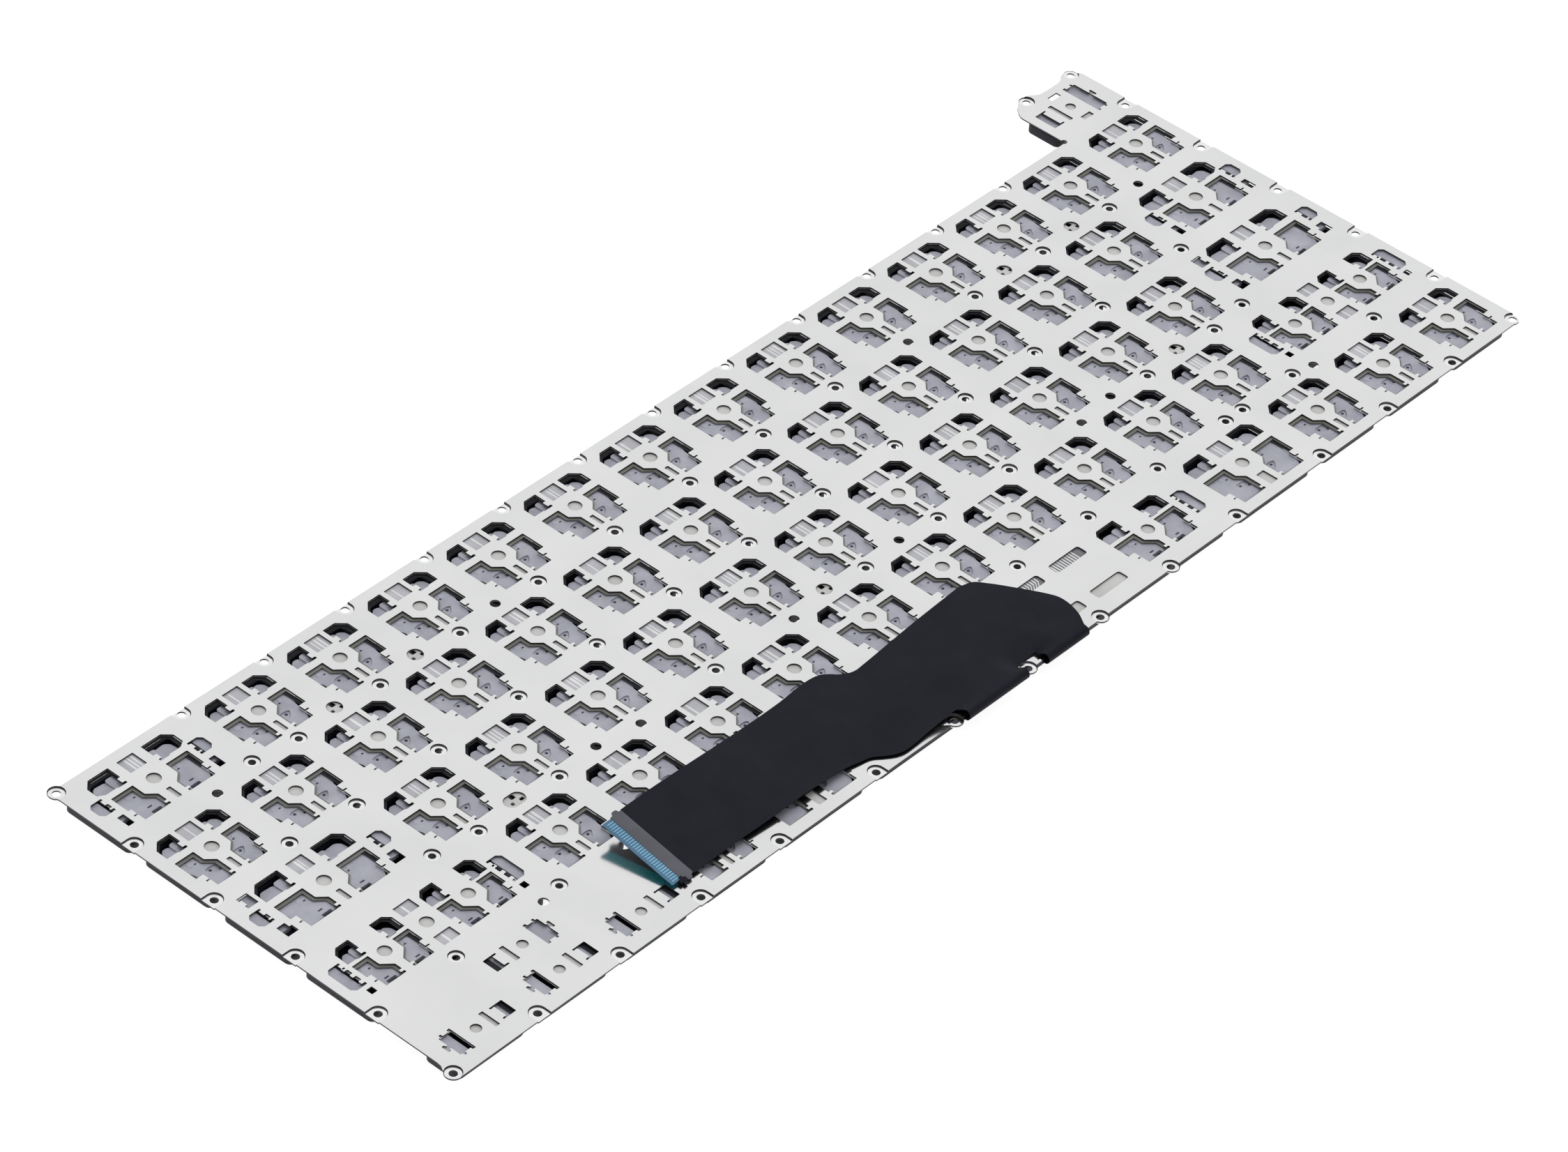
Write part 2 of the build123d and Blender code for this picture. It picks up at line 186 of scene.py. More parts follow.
# Screw dimples: pressed towards the keys, with a hole in the floor
DIMPLE = 1.57
DIMPLE_FLOOR = 1.42
DIMPLE_DEPTH = 0.3
SCREW_HOLE = 0.75
INNER_SCALE = 0.91
SMALL_HOLE = 0.95
LARGE_HOLE = 1.45
SIDE_X = 1.4
EDGE_Y = 8.2
FOOT_Y = -80.75
EAR_Y = -81.45
EDGE_COLUMNS = range(2, 14)
SIDE_ROWS = range(4)
FOOT_COLUMNS = (1, 2, 3, 4.25, 9.25, 10.5, 11.5, 12.5, 13.5)
EAR_COLUMNS = (5.25, 6.25, 7.25, 8.25)
RING_ROWS = [
    (-9.3, (1.5, 2.5, 3.5, 5.5, 6.5, 7.5, 8.5, 9.5, 10.5, 11.5, 12.5)),
    (-27.25, (2.75, 3.75, 4.75, 5.75, 6.75, 7.75, 8.75, 9.75, 10.75, 11.75, 12.75)),
    (-26.15, (1.5, 13.5)),
    (-45.35, (2.25, 3.25, 5.25, 6.25, 7.25, 9.25, 11.25, 12.25)),
    (-44.1, (1.75, 12.75)),
    (-63.1, (1.0, 2.25, 3.0, 3.25, 4.25, 5.25, 6.25, 12.25, 13.5)),
    (-8.1, (13.0,)),
]
SMALL_HOLES = [
    (-9.8, (4.5, 13.5)),
    (-8.3, (1, 10)),
    (-45.9, (4.25, 8.25, 10.25)),
    (-44.6, (3.75, 6.75, 10.75)),
    (-64.1, (2.0, 11.5, 12.5)),
]
LARGE_HOLES = [(-8.1, (2, 3, 11, 12)), (-44.3, (2.75, 7.75))]
LONG_HOLE = (11.75, -44.25, 0.7)
LARGE_HOLE_SPOTS = [*LARGE_HOLES, (LONG_HOLE[1], (LONG_HOLE[0],))]
CORNER_EARS = {"top": (-274.85, 8.4), "bottom": (-275.5, -80.75), "right": (-0.9, -80.75)}
TAB_EARS = ((-14.3, 22.45), (-1.55, 22.3))
TAB_LEFT = -19.0
TAB_RELIEF = 0.62

# Track slots beside the space bar's middle
TRACK_SLOTS = ((-115.35, -107.35), (-126.4, -118.4))
TRACK_SLOT_HEIGHTS = ((-69.25, -66.9), (-78.4, -76.05))

# Membrane: how far it reaches into the windows, and its printed tracks
MEMBRANE_REACH = 0.52
UPPER_REACH = 0.35
OUTER_REACH = 0.78
MEMBRANE_EDGE = 0.8
TAB_SHORT = 5.2
CUT_MARGIN = 0.1
CLEARANCE = 0.25
FLOOR_GAP = 0.02
FACE_GAP = 0.005
STRIP_GAP = 0.01
LINING_HEIGHT = 0.1
# Painted highlight lines: the share of windows that get one along their outer side, and how deep they sit
# below the membrane's top
HIGHLIGHT_LINE_SHARE = 0.65
HIGHLIGHT_LINE_DEPTHS = (0.14, 0.03)
TRACK_HEIGHT = 0.03
TRACK_REACH = 1.6
TRACK_COUNTS = (1, 1, 2, 2, 3)
TRACK_WIDTHS = (0.26, 0.32, 0.4, 0.5)
TRACK_STEP = 0.75
SLOT_TRACK_STEP = 0.62
SLOT_TRACK_REACH = 0.4
GROUND_MARGIN = 0.2
GROUND_TOP = 0.012

# Caps
CAP_CORNER = 1.25
CAP_EDGE = ((0.16, 0.0), (0.05, 0.03), (0.0, 0.12))
CAP_SKIRT = 1.9
CAP_LIP = 0.08
CAP_WALL = 0.8
CAP_DRAFT = 0.1
CAP_HOLLOW = 0.9
CAP_INNER_CORNER = 0.35
CORNER_STEPS = 5
LONG_ENDS = {"delete": 0.15, "return": 0.15, "right_shift": 0.15}

# Hinges and domes
FRAME_THICK = 0.75
SEAT = 0.15
HINGE_Z = membrane_low.z - SEAT - FRAME_THICK
YOKE_THICK = 0.45
LEVEL_BAR_THICK = 0.95
BOWL_DEPTH = 0.3
DOME_BASE = 2.5
HALF_DOME = 0.42
DOME_STEPS = 20

# Film tail: its outline is traced in three stretches, along its foot, round its belly and along its top
FILM_FOOT = [(-196.0, -77.0), (-183.5, -77.17), (-179.15, -77.22), (-176.55, -77.68), (-174.1, -78.25)]
FILM_FOOT += [(-172.2, -79.6), (-170.4, -80.58), (-168.0, -81.03), (-162.0, -80.62), (-156.35, -80.58)]
FILM_BELLY = [(-122.3, -79.2), (-121.5, -75.6), (-122.3, -72.6), (-126.0, -66.3), (-127.7, -63.7)]
FILM_BELLY += [(-129.2, -61.8), (-131.8, -60.95)]
FILM_TOP = [(-134.0, -61.05), (-146.0, -61.75), (-158.0, -62.75), (-160.8, -62.9), (-162.4, -62.4)]
FILM_TOP += [(-163.6, -61.6), (-164.6, -60.5), (-165.8, -59.6), (-167.4, -59.15), (-170.0, -59.05)]
FILM_TOP += [(-176.0, -59.45)]
FILM = 0.15
FOLD_RADIUS = 1.0
FOLD_Y = BOTTOM - 0.3
FOLD_STEPS = 16
TONGUE_END = 1.2
RIPPLE = 0.12
RIPPLE_START = 5
TONGUES = ((-155.0, -139.7), (-134.5, -124.0))
NOTCH_Y = -80.0
NOTCH_X = -137.1
NOTCH_DIP = 1.3
EDGE_DIP_X = -169.0
EDGE_DIP_REACH = 15.5
EDGE_DIP_Y = (-77.5, -71.5)
EDGE_DIP = 1.1
TAIL_END = -215.84
TWIST_START = -176.0
TAIL_Y = (-76.68, -60.48)
TAIL_LIFT = (0.6, 3.6)
STIFFENER = 2.6
STIFFENER_EAR = 0.6
BLADE = 2.1
BLADE_INSET = 0.2
END_SHEET = 0.22
FINGERS = 29
FINGER_INSET = 0.35
FINGER_THICK = 0.03
CROSS_ARM = (0.8, 0.34)

# Camera, from the photograph's perspective: place in millimetres, axes and focal length
CAMERA_PLACE = (-669.354, -530.092, 706.623)
CAMERA_RIGHT = (0.66285, -0.74588, 0.06554)
CAMERA_DOWN = (-0.44742, -0.46474, -0.76409)
CAMERA_AXIS = (0.60038, 0.47715, -0.64178)
LENS = 148.64
SENSOR = 36.0

# Light: the bright side of the room, its darkest and brightest levels, and the panel's power in watts
BRIGHT_SIDE = (0.75, 0.45, 0.55)
ROOM_LEVELS = (0.45, 0.95)
ROOM_SPAN = (-0.4, 0.9)
ROOM_COLOUR = (0.985, 0.99, 1.0, 1)
OVERHEAD_POWER = 4.0

# Floor, in metres, and how brightly it shows to the camera and in reflections
FLOOR_SIZE = 6.0
FLOOR_Z = -0.00005
FLOOR_COLOUR = (0.4, 0.4, 0.4, 1)
FLOOR_GLOW = 0.88

random.seed(7)


# Flat outlines
def rounded(points, radius=WINDOW_CORNER, steps=3):
    """A closed outline with its corners rounded, less where its sides are short."""
    out = []
    for i, point in enumerate(points):
        p = Vector(point)
        before = Vector(points[i - 1]) - p
        after = Vector(points[(i + 1) % len(points)]) - p
        cut = min(radius, 0.4 * before.length, 0.4 * after.length)
        a = p + before.normalized() * cut
        b = p + after.normalized() * cut
        for k in range(steps + 1):
            t = k / steps
            q = a * (1 - t) ** 2 + p * 2 * t * (1 - t) + b * t**2
            out.append((q.x, q.y))
    return out


def circle(x, y, radius, steps=24):
    turns = [2 * pi * i / steps for i in range(steps)]
    return [(x + radius * cos(turn), y + radius * sin(turn)) for turn in turns]


def arc(x, y, radius, start, end, steps=12):
    """Points along an arc, angles in degrees."""
    angles = [(start + (end - start) * i / steps) * pi / 180 for i in range(steps + 1)]
    return [(x + radius * cos(a), y + radius * sin(a)) for a in angles]


def box(x1, x2, y1, y2):
    return [(x1, y1), (x2, y1), (x2, y2), (x1, y2)]


def moved(points, x, y, side=1):
    """An outline mirrored to one side and moved to its station."""
    return [(x + side * px, y + py) for px, py in points]


def flipped(points):
    """Half an outline, reflected in the x axis and run backwards."""
    return [(x, -y) for x, y in reversed(points)]


def grid_places(rows):
    """Places from rows of (y, columns), with the columns in pitches from the Escape end."""
    return [(-PITCH * u, y) for y, columns in rows for u in columns]


def spline(points, steps=8):
    """A smooth line through points, ends included."""
    ends = [2 * Vector(points[0]) - Vector(points[1])], [2 * Vector(points[-1]) - Vector(points[-2])]
    p = ends[0] + [Vector(q) for q in points] + ends[1]
    out = []
    for i in range(1, len(p) - 2):
        for k in range(steps):
            t = k / steps
            q = 0.5 * (
                2 * p[i]
                + (p[i + 1] - p[i - 1]) * t
                + (2 * p[i - 1] - 5 * p[i] + 4 * p[i + 1] - p[i + 2]) * t**2
                + (3 * p[i] - p[i - 1] - 3 * p[i + 1] + p[i + 2]) * t**3
            )
            out.append((q.x, q.y))
    return out + [tuple(points[-1])]


def inside(points, loop):
    """Which of many points lie inside a closed outline."""
    loop = np.array(loop, float)
    low, high = loop.min(0), loop.max(0)
    near = np.flatnonzero(((points > low) & (points < high)).all(1))
    x, y = points[near].T
    odd = np.zeros(len(near), bool)
    for (x1, y1), (x2, y2) in zip(loop, np.roll(loop, -1, 0)):
        if y1 != y2:
            odd ^= ((y1 > y) != (y2 > y)) & (x < (x2 - x1) * (y - y1) / (y2 - y1) + x1)
    found = np.zeros(len(points), bool)
    found[near] = odd
    return found


# Solids as (points, faces)
def sheet(outline, holes, low, high, rings=(), lift=None, extra=()):
    """A sheet between two heights, with holes. Rings are lines that the facets follow, and lift maps
    flat points to solid ones."""
    points, edges = [], []
    for loop in (outline, *holes, *rings):
        first = len(points)
        points += loop
        edges += [(first + i, first + (i + 1) % len(loop)) for i in range(len(loop))]
    points = [Vector(p) for p in (*points, *extra)]
    flat, _, faces, *_ = delaunay_2d_cdt(points, edges, [], 0, 1e-5)
    flat = np.array([(p.x, p.y) for p in flat])
    faces = np.array(faces)
    centres = flat[faces].mean(1)
    keep = inside(centres, outline)
    for hole in holes:
        keep &= ~inside(centres, hole)
    faces = faces[keep]
    a, b, c = (flat[faces[:, i]] for i in range(3))
    turn = (b[:, 0] - a[:, 0]) * (c[:, 1] - a[:, 1]) - (b[:, 1] - a[:, 1]) * (c[:, 0] - a[:, 0])
    faces[turn < 0] = faces[turn < 0][:, ::-1]
    used, faces = np.unique(faces, return_inverse=True)
    faces = faces.reshape(-1, 3)
    flat = flat[used]
    n = len(flat)
    rise = lift or (lambda p, z: np.c_[p, np.full(len(p), z)])
    solid = np.r_[rise(flat, high), rise(flat, low)]
    directed = {(f[i], f[(i + 1) % 3]) for f in faces.tolist() for i in range(3)}
    rim = [(p, p + n, q + n, q) for p, q in directed if (q, p) not in directed]
    return solid, faces.tolist() + (faces[:, ::-1] + n).tolist() + sorted(rim)


def stack(loops):
    """A closed solid of outlines of equal length, each with its own height, capped at both ends."""
    count = len(loops[0])
    points = [p for loop in loops for p in loop]
    faces = [list(range(count))[::-1], list(range(len(points) - count, len(points)))]
    for k in range(len(loops) - 1):
        for i in range(count):
            j = (i + 1) % count
            faces.append((k * count + i, k * count + j, (k + 1) * count + j, (k + 1) * count + i))
    return np.array(points, float), faces


def joined(solids):
    """Several solids as one."""
    points, faces, first = [], [], 0
    for p, f in solids:
        points.append(np.asarray(p, float))
        faces += [[first + i for i in face] for face in f]
        first += len(p)
    return np.concatenate(points), faces


def piece(name, solid, material, slot, body=BASE, replaces=(), smooth=0.6, edge=None):
    """A mesh object in the frame, riding on a body. A sheet's cut edges can have their own material."""
    points, faces = solid
    mesh = bpy.data.meshes.new(name)
    placed = (np.asarray(points, float) + (GRID_X, GRID_Y, 0)) * MM
    mesh.from_pydata(placed.tolist(), [], [list(f) for f in faces])
    mesh.validate()
    mesh.polygons.foreach_set("use_smooth", [True] * len(mesh.polygons))
    mesh.set_sharp_from_angle(angle=smooth)
    mesh.materials.append(material)
    if edge:
        mesh.materials.append(edge)
        mesh.polygons.foreach_set("material_index", [int(len(p.vertices) == 4) for p in mesh.polygons])
    obj = bpy.data.objects.new(name, mesh)
    bpy.context.scene.collection.objects.link(obj)
    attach(obj, body)
    if replaces:
        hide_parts(*replaces)
    return obj


# Materials
class Nodes:
    """A node tree, with short ways to add nodes and links."""

    def __init__(self, tree):
        self.tree = tree

    def node(self, kind, links=(), **values):
        made = self.tree.nodes.new(kind)
        for key, value in values.items():
            setattr(made, key, value)
        for socket, source in dict(links).items():
            self.put(made.inputs[socket], source)
        return made

    def put(self, socket, source):
        if isinstance(source, bpy.types.NodeSocket):
            self.tree.links.new(source, socket)
        else:
            socket.default_value = source

    def math(self, operation, first, second):
        return self.node("ShaderNodeMath", {0: first, 1: second}, operation=operation).outputs[0]

    def ray(self, kind):
        """1 for rays of that kind, otherwise 0."""
        return self.node("ShaderNodeLightPath").outputs[f"Is {kind} Ray"]


class Paint(Nodes):
    """A material's nodes: a shader, and noise in the part's own space, in millimetres."""

    def __init__(self, name, **settings):
        self.material = bpy.data.materials.new(name)
        self.material.use_nodes = True
        super().__init__(self.material.node_tree)
        self.shader = self.tree.nodes["Principled BSDF"]
        for socket, value in settings.items():
            self.shader.inputs[socket.replace("_", " ")].default_value = value

    def noise(self, size, detail=3.0, stretch=(1, 1, 1)):
        """Noise whose spots are about that many millimetres wide."""
        coords = self.node("ShaderNodeTexCoord").outputs["Object"]
        scale = [s / (size * MM) for s in stretch]
        spread = self.node("ShaderNodeMapping", {"Vector": coords, "Scale": scale})
        links = {"Vector": spread.outputs[0], "Scale": 1.0, "Detail": detail}
        return self.node("ShaderNodeTexNoise", links).outputs["Fac"]

    def ramp(self, factor, stops):
        """A colour ramp from (position, colour) pairs."""
        made = self.node("ShaderNodeValToRGB", {"Fac": factor})
        elements = made.color_ramp.elements
        while len(elements) < len(stops):
            elements.new(0.5)
        for element, (position, colour) in zip(elements, stops):
            element.position = position
            element.color = (*colour, 1)
        return made.outputs["Color"]

    def range(self, factor, low, high):
        made = self.node("ShaderNodeMapRange", {"Value": factor, "To Min": low, "To Max": high})
        return made.outputs["Result"]

    def colour(self, factor, stops):
        self.put(self.shader.inputs["Base Color"], self.ramp(factor, stops))

    def rough(self, factor, low, high):
        self.put(self.shader.inputs["Roughness"], self.range(factor, low, high))

    def bump(self, height, depth, strength=1.0):
        """Relief so many millimetres deep."""
        links = {"Height": height, "Distance": depth * MM, "Strength": strength}
        made = self.node("ShaderNodeBump", links)
        self.put(self.shader.inputs["Normal"], made.outputs["Normal"])


def steel(name, dark, light):
    """Satin zinc-plated sheet: faint clouds, fine grain and rolling lines along the rows."""
    paint = Paint(name, Metallic=1.0)
    paint.colour(paint.noise(14, 4), [(0.3, dark), (0.7, light)])
    paint.rough(paint.noise(3, 3), 0.13, 0.19)
    grain = paint.noise(0.16, 2)
    lines = paint.noise(0.25, 2, (0.04, 1, 1))
    paint.bump(paint.math("ADD", grain, lines), 0.005, 0.35)
    return paint.material


def film_material(name, dark, light, rough, **settings):
    """A coated film: cloudy colour with a faint leather-fine grain."""
    paint = Paint(name, **settings)
    paint.colour(paint.noise(6, 4), [(0.35, dark), (0.65, light)])
    paint.rough(paint.noise(0.8, 3), *rough)
    paint.bump(paint.noise(0.12, 2), 0.004, 0.4)
    return paint.material


def moulded(name, dark, light, rough, **settings):
    """Moulded plastic or rubber: slow changes of tone and a fine eroded skin."""
    paint = Paint(name, **settings)
    paint.colour(paint.noise(4, 3), [(0.3, dark), (0.7, light)])
    paint.rough(paint.noise(0.5, 2), *rough)
    paint.bump(paint.noise(0.07, 2), 0.004, 0.5)
    return paint.material


STEEL = steel("steel_plate", (0.745, 0.745, 0.738), (0.795, 0.795, 0.785))
COINED = steel("coined_steel", (0.83, 0.83, 0.825), (0.87, 0.87, 0.86))
# Painted shade: a dark coat on the plate's cut edges and on the pressed walls of its dimples, standing in
# for the shadow on these walls
SHADED_WALL = film_material(
    "painted_shade_wall", (0.05, 0.046, 0.05), (0.1, 0.095, 0.1), (0.45, 0.6), Metallic=0.8
)
MEMBRANE = film_material("membrane_film", (0.52, 0.52, 0.50), (0.6, 0.6, 0.58), (0.3, 0.45))
OLIVE = film_material("membrane_margin", (0.15, 0.15, 0.135), (0.2, 0.2, 0.18), (0.25, 0.4))
LINING = film_material(
    "window_lining", (0.006, 0.0065, 0.009), (0.011, 0.0115, 0.015), (0.4, 0.55), Specular_IOR_Level=0.2
)
LINING_EDGE = film_material("lining_edge", (0.04, 0.04, 0.045), (0.1, 0.1, 0.11), (0.25, 0.4))
GROUND = film_material("track_ground", (0.4, 0.4, 0.43), (0.52, 0.52, 0.55), (0.3, 0.45))
# Painted shade: a dark ground for the space bar's track slots, so that the ground between the silver
# tracks reads as shade
SLOT_SHADE = film_material("slot_shade_ground", (0.13, 0.13, 0.14), (0.2, 0.2, 0.215), (0.3, 0.45))
# Painted highlight: bright colour for the membrane's cut edges and for the highlight lines along the
# windows' outer sides
EDGE_HIGHLIGHT = film_material("membrane_edge_highlight", (0.7, 0.7, 0.7), (0.9, 0.9, 0.9), (0.25, 0.4))
TRACK = film_material("silver_track", (0.66, 0.66, 0.66), (0.8, 0.8, 0.8), (0.3, 0.45), Metallic=0.4)
PLASTIC = moulded(
    "scissor_plastic",
    (0.32, 0.325, 0.378),
    (0.43, 0.435, 0.495),
    (0.35, 0.5),
    Subsurface_Weight=0.15,
    Subsurface_Radius=(0.0008, 0.0008, 0.001),
)
RUBBER = moulded("dome_rubber", (0.6, 0.6, 0.6), (0.68, 0.68, 0.68), (0.4, 0.6))
CAP = moulded(
    "keycap_plastic", (0.011, 0.0118, 0.02), (0.017, 0.0178, 0.03), (0.45, 0.6), Specular_IOR_Level=0.25
)
BLACK = film_material(
    "ribbon_film", (0.0065, 0.0072, 0.013), (0.0095, 0.0102, 0.017), (0.45, 0.58), Specular_IOR_Level=0.1
)
GREY = film_material(
    "stiffener_film", (0.075, 0.075, 0.093), (0.098, 0.098, 0.118), (0.38, 0.52), Specular_IOR_Level=0.3
)
TEAL = film_material("contact_film", (0.035, 0.125, 0.225), (0.045, 0.155, 0.27), (0.25, 0.36))
# Painted light: the contacts on the blade's underside are coloured much brighter than the blade's teal,
# standing in for light that the shaded underside lacks, so that their reflection in the plate shows
# bright
PAINTED_LIGHT_TEAL = film_material("contact_back_painted_light", (0.008, 0.52, 0.58), (0.014, 0.6, 0.66), (0.2, 0.32))
FINGER = film_material("contact_finger", (0.16, 0.42, 0.60), (0.22, 0.52, 0.70), (0.2, 0.3))


# Keys, from the caps in the frame: centre and size of each
def cap_place(node):
    low, high = (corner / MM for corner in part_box(node))
    middle = 0.5 * (low + high)
    return middle.x - GRID_X, middle.y - GRID_Y, high.x - low.x, high.y - low.y


KEY_NAMES = [joint["name"].removesuffix("_press") for joint in frame["joints"]]
KEYS = {key: cap_place(f"{key}_keycap") for key in KEY_NAMES}
NUMBERS = {
    f"number_{i + 1:02d}": (-(i + 0.5) * PITCH, 0.0, PITCH - KEY_GAP, CAP_DEPTH) for i in range(13)
}
ALL_KEYS = {**NUMBERS, **KEYS}


def stations(key, x, y):
    """The scissor stations of one full-height key as (x, y, shape). A half-height key has none."""
    if key in HALF_KEYS:
        return []
    shape = SHAPES.get(key, ROW_END if y < -3.5 * ROW else STANDARD)
    half = 0.5 * PAIR_SPACING.get(key, 0.0)
    return [(x + dx, y, shape) for dx in sorted({-half, half})]


# Windows of the plate
def upper_window(shape, inset=0.0, hooks=True):
    inner, outer, low, high, cut, foot = shape["upper"]
    catch = low + HOOK_RISE
    head = catch + HOOK_HEIGHT
    inner, outer, low, high = inner + inset, outer - inset, low + inset, high - inset
    sill = low - SILL
    points = [(outer, high - cut), (outer - cut, high), (inner, high)]
    if hooks:
        points += [(inner, head), (inner + HOOK, head), (inner + HOOK, catch), (inner, catch)]
        points += [(inner, sill), (inner + SILL_SLANT[0], sill), (inner + SILL_SLANT[1], low)]
    else:
        points.append((inner, sill))
    points.append((outer - foot, low))
    if foot:
        points.append((outer, low + 0.6 * foot))
    return rounded(points)


def lower_window(shape, inset=0.0, hooks=True):
    top_in, top_out, foot_in, foot_out, top, slant, waist, step, bottom = shape["lower"]
    top_in += inset
    foot_in += inset
    top -= inset
    if inset > 0:
        top_out += CLEARANCE
        foot_out += CLEARANCE
    points = [(top_in, top), (top_out, top), (top_out, step), (foot_out, step)]
    if hooks:
        depth, half = NICK
        nick = step + NICK_SHARE * (bottom - step)
        points += [(foot_out, nick + half), (foot_out + depth, nick + half)]
        points += [(foot_out + depth, nick - half), (foot_out, nick - half)]
    points += [(foot_out, bottom), (foot_in, bottom)]
    if hooks:
        points += [(foot_in + px, bottom + py) for px, py in FOOT_HOOK]
    return rounded(points + [(foot_in, waist), (top_in, slant)])


def station_windows(x, y, shape):
    loops = []
    for side in (-1, 1):
        loops += [moved(upper_window(shape), x, y, side), moved(lower_window(shape), x, y, side)]
    loops.append(circle(x, y, shape["switch"]))
    for window, corner in (("tracks", WINDOW_CORNER), ("slot", SLOT_CORNER)):
        if shape[window]:
            half, low, high = shape[window]
            loops.append(moved(rounded(box(-half, half, low, high), corner), x, y))
    return loops


def bracket_window(low, high):
    """A window at a cap's end, from its outer side, with plate hooks on the inner side."""
    cut = 0.75
    inner = BRACKET_WIDTH
    hook = inner - HOOK
    notch = inner - 0.55
    points = [(0, low + cut), (cut, low), (inner, low)]
    teeth = int(high - low) // 2
    for i in range(teeth):
        foot = low + 0.55 + i * (high - low - 0.6) / teeth
        head = foot + (0.35 if teeth == 1 else 0.75)
        points += [(inner, foot), (hook, foot), (hook, head), (inner, head)]
    points += [(inner, high - 1.6), (notch, high - 1.6), (notch, high - 0.45)]
    points += [(inner, high - 0.45), (inner, high), (cut, high), (0, high - cut)]
    return rounded(points, 0.15)


def bracket_windows(key, x, y, width):
    low, high = BRACKET_SPANS[key]
    end = 0.5 * width
    loops = []
    for side in (-1, 1):
        loops.append(moved([(-(end - px), py) for px, py in bracket_window(low, high)], x, y, -side))
        loops += [moved(rounded(plan, 0.1), x, y, side) for plan in level_windows(key, end)]
    if key in CATCH_WINDOWS:
        left, way = CATCH_WINDOWS[key]
        plan = CATCH_PLAN
        if way < 0:
            plan = [(CATCH_WIDTH - px, py) for px, py in plan]
        loops.append(moved(rounded(plan, 0.1), x + left, y + CATCH_FOOT))
    return loops


def level_windows(key, end):
    """Small windows at a wide cap's foot: plain, stepped or square."""
    if key in ("delete", "tab"):
        return [box(end - 3.05, end - 1.7, -5.5, -2.8)]
    if key in CATCH_WINDOWS:
        outer, step, inner = end - 1.7, end - 3.5, end - 4.05
        return [[(outer, -5.3), (outer, -2.6), (step, -2.6), (step, -3.7), (inner, -3.7), (inner, -5.3)]]
    return [] if key == "space_bar" else [box(end - 3.0, end - 1.75, -5.55, -4.2)]


def half_windows(key, x, y):
    """Hinge window, hook window, slot and switch hole of a half-height key."""
    tall, reach = (4.0, 2.45) if key == "escape" else (2.4, 1.65)
    nib = tall + 0.5
    lip = reach - 0.35
    foot = [(3.0, -nib), (3.65, -nib), (3.65, -tall), (4.95, -tall), (4.95, -nib), (5.45, -nib)]
    foot += [(5.45, -tall), (5.9, -tall)]
    hinge = rounded(foot + HALF_EAR + flipped(foot), 0.15)
    foot = [(-7.4, -reach), (-4.6, -reach), (-4.6, -lip), (-5.5, -lip)]
    hook = rounded(foot + flipped(foot), 0.15)
    slot = rounded(box(-3.45, -2.5, -reach - 0.3, reach + 0.3))
    loops = [moved(loop, x, y, HALF_KEYS[key]) for loop in (hinge, hook, slot)] + [circle(x, y, 1.0)]
    if key == "escape":
        loops += [moved(rounded(box(-1.2, 1.4, at - 0.58, at + 0.58)), x, y) for at in (-3.95, 4.05)]
    return loops


def plate_windows():
    loops = []
    for key, (x, y, width, depth) in ALL_KEYS.items():
        if key in HALF_KEYS:
            loops += half_windows(key, x, y)
        for station in stations(key, x, y):
            loops += station_windows(*station)
        if key in BRACKET_SPANS:
            loops += bracket_windows(key, x, y, width)
        if key.endswith("shift"):
            loops.append(circle(x, y, SHIFT_SWITCH))
            for low, high in SHIFT_WINDOWS:
                loops.append(moved(rounded(box(-SHIFT_HALF, SHIFT_HALF, low, high)), x, y))
    for left, right in TRACK_SLOTS:
        for low, high in TRACK_SLOT_HEIGHTS:
            loops.append(rounded(box(left, right, low, high), 0.6))
    return loops


# Screw places
def dimples():
    """Every dimple as (x, y, direction in which it opens to the plate's edge, scale)."""
    right = RIGHT - SIDE_X - 0.25
    found = [(-PITCH * k, EDGE_Y, (0, 1)) for k in EDGE_COLUMNS]
    for row in SIDE_ROWS:
        y = -(row + 0.5) * ROW
        found += [(LEFT + SIDE_X, y, (-1, 0)), (right, y, (1, 0))]
    found.append((right, 9.15, (1, 0)))
    found += [(-PITCH * u, FOOT_Y, (0, -1)) for u in FOOT_COLUMNS]
    found += [(-PITCH * u, EAR_Y, None) for u in EAR_COLUMNS]
    found += [(*place, None) for place in (*CORNER_EARS.values(), *TAB_EARS)]
    inner = [(*place, None, INNER_SCALE) for place in grid_places(RING_ROWS)]
    return [(*place, 1.0) for place in found] + inner


DIMPLES = dimples()


def dimple_loop(x, y, way, radius):
    """A ring round a screw hole, drawn out past the plate's edge where the dimple is open there."""
    if way is None:
        return circle(x, y, radius)
    turn = atan2(way[1], way[0]) * 180 / pi
    bend = arc(x, y, radius, turn + 90, turn + 270, 14)
    out = [(px + way[0] * 3, py + way[1] * 3) for px, py in (bend[-1], bend[0])]
    return bend + out


def pressed(points, z):
    """The plate's points with the dimples pressed in."""
    drop = np.zeros(len(points))
    for x, y, way, scale in DIMPLES:
        near = np.flatnonzero(np.abs(points - (x, y)).max(1) < 3.0)
        step = points[near] - (x, y)
        if way is not None:
            along = np.maximum(step @ np.array(way, float), 0)
            step = step - along[:, None] * np.array(way, float)
        radius = np.hypot(*step.T) / scale
        share = np.clip((DIMPLE - radius) / (DIMPLE - DIMPLE_FLOOR), 0, 1)
        drop[near] = np.maximum(drop[near], DIMPLE_DEPTH * share)
    return np.c_[points, z - drop]


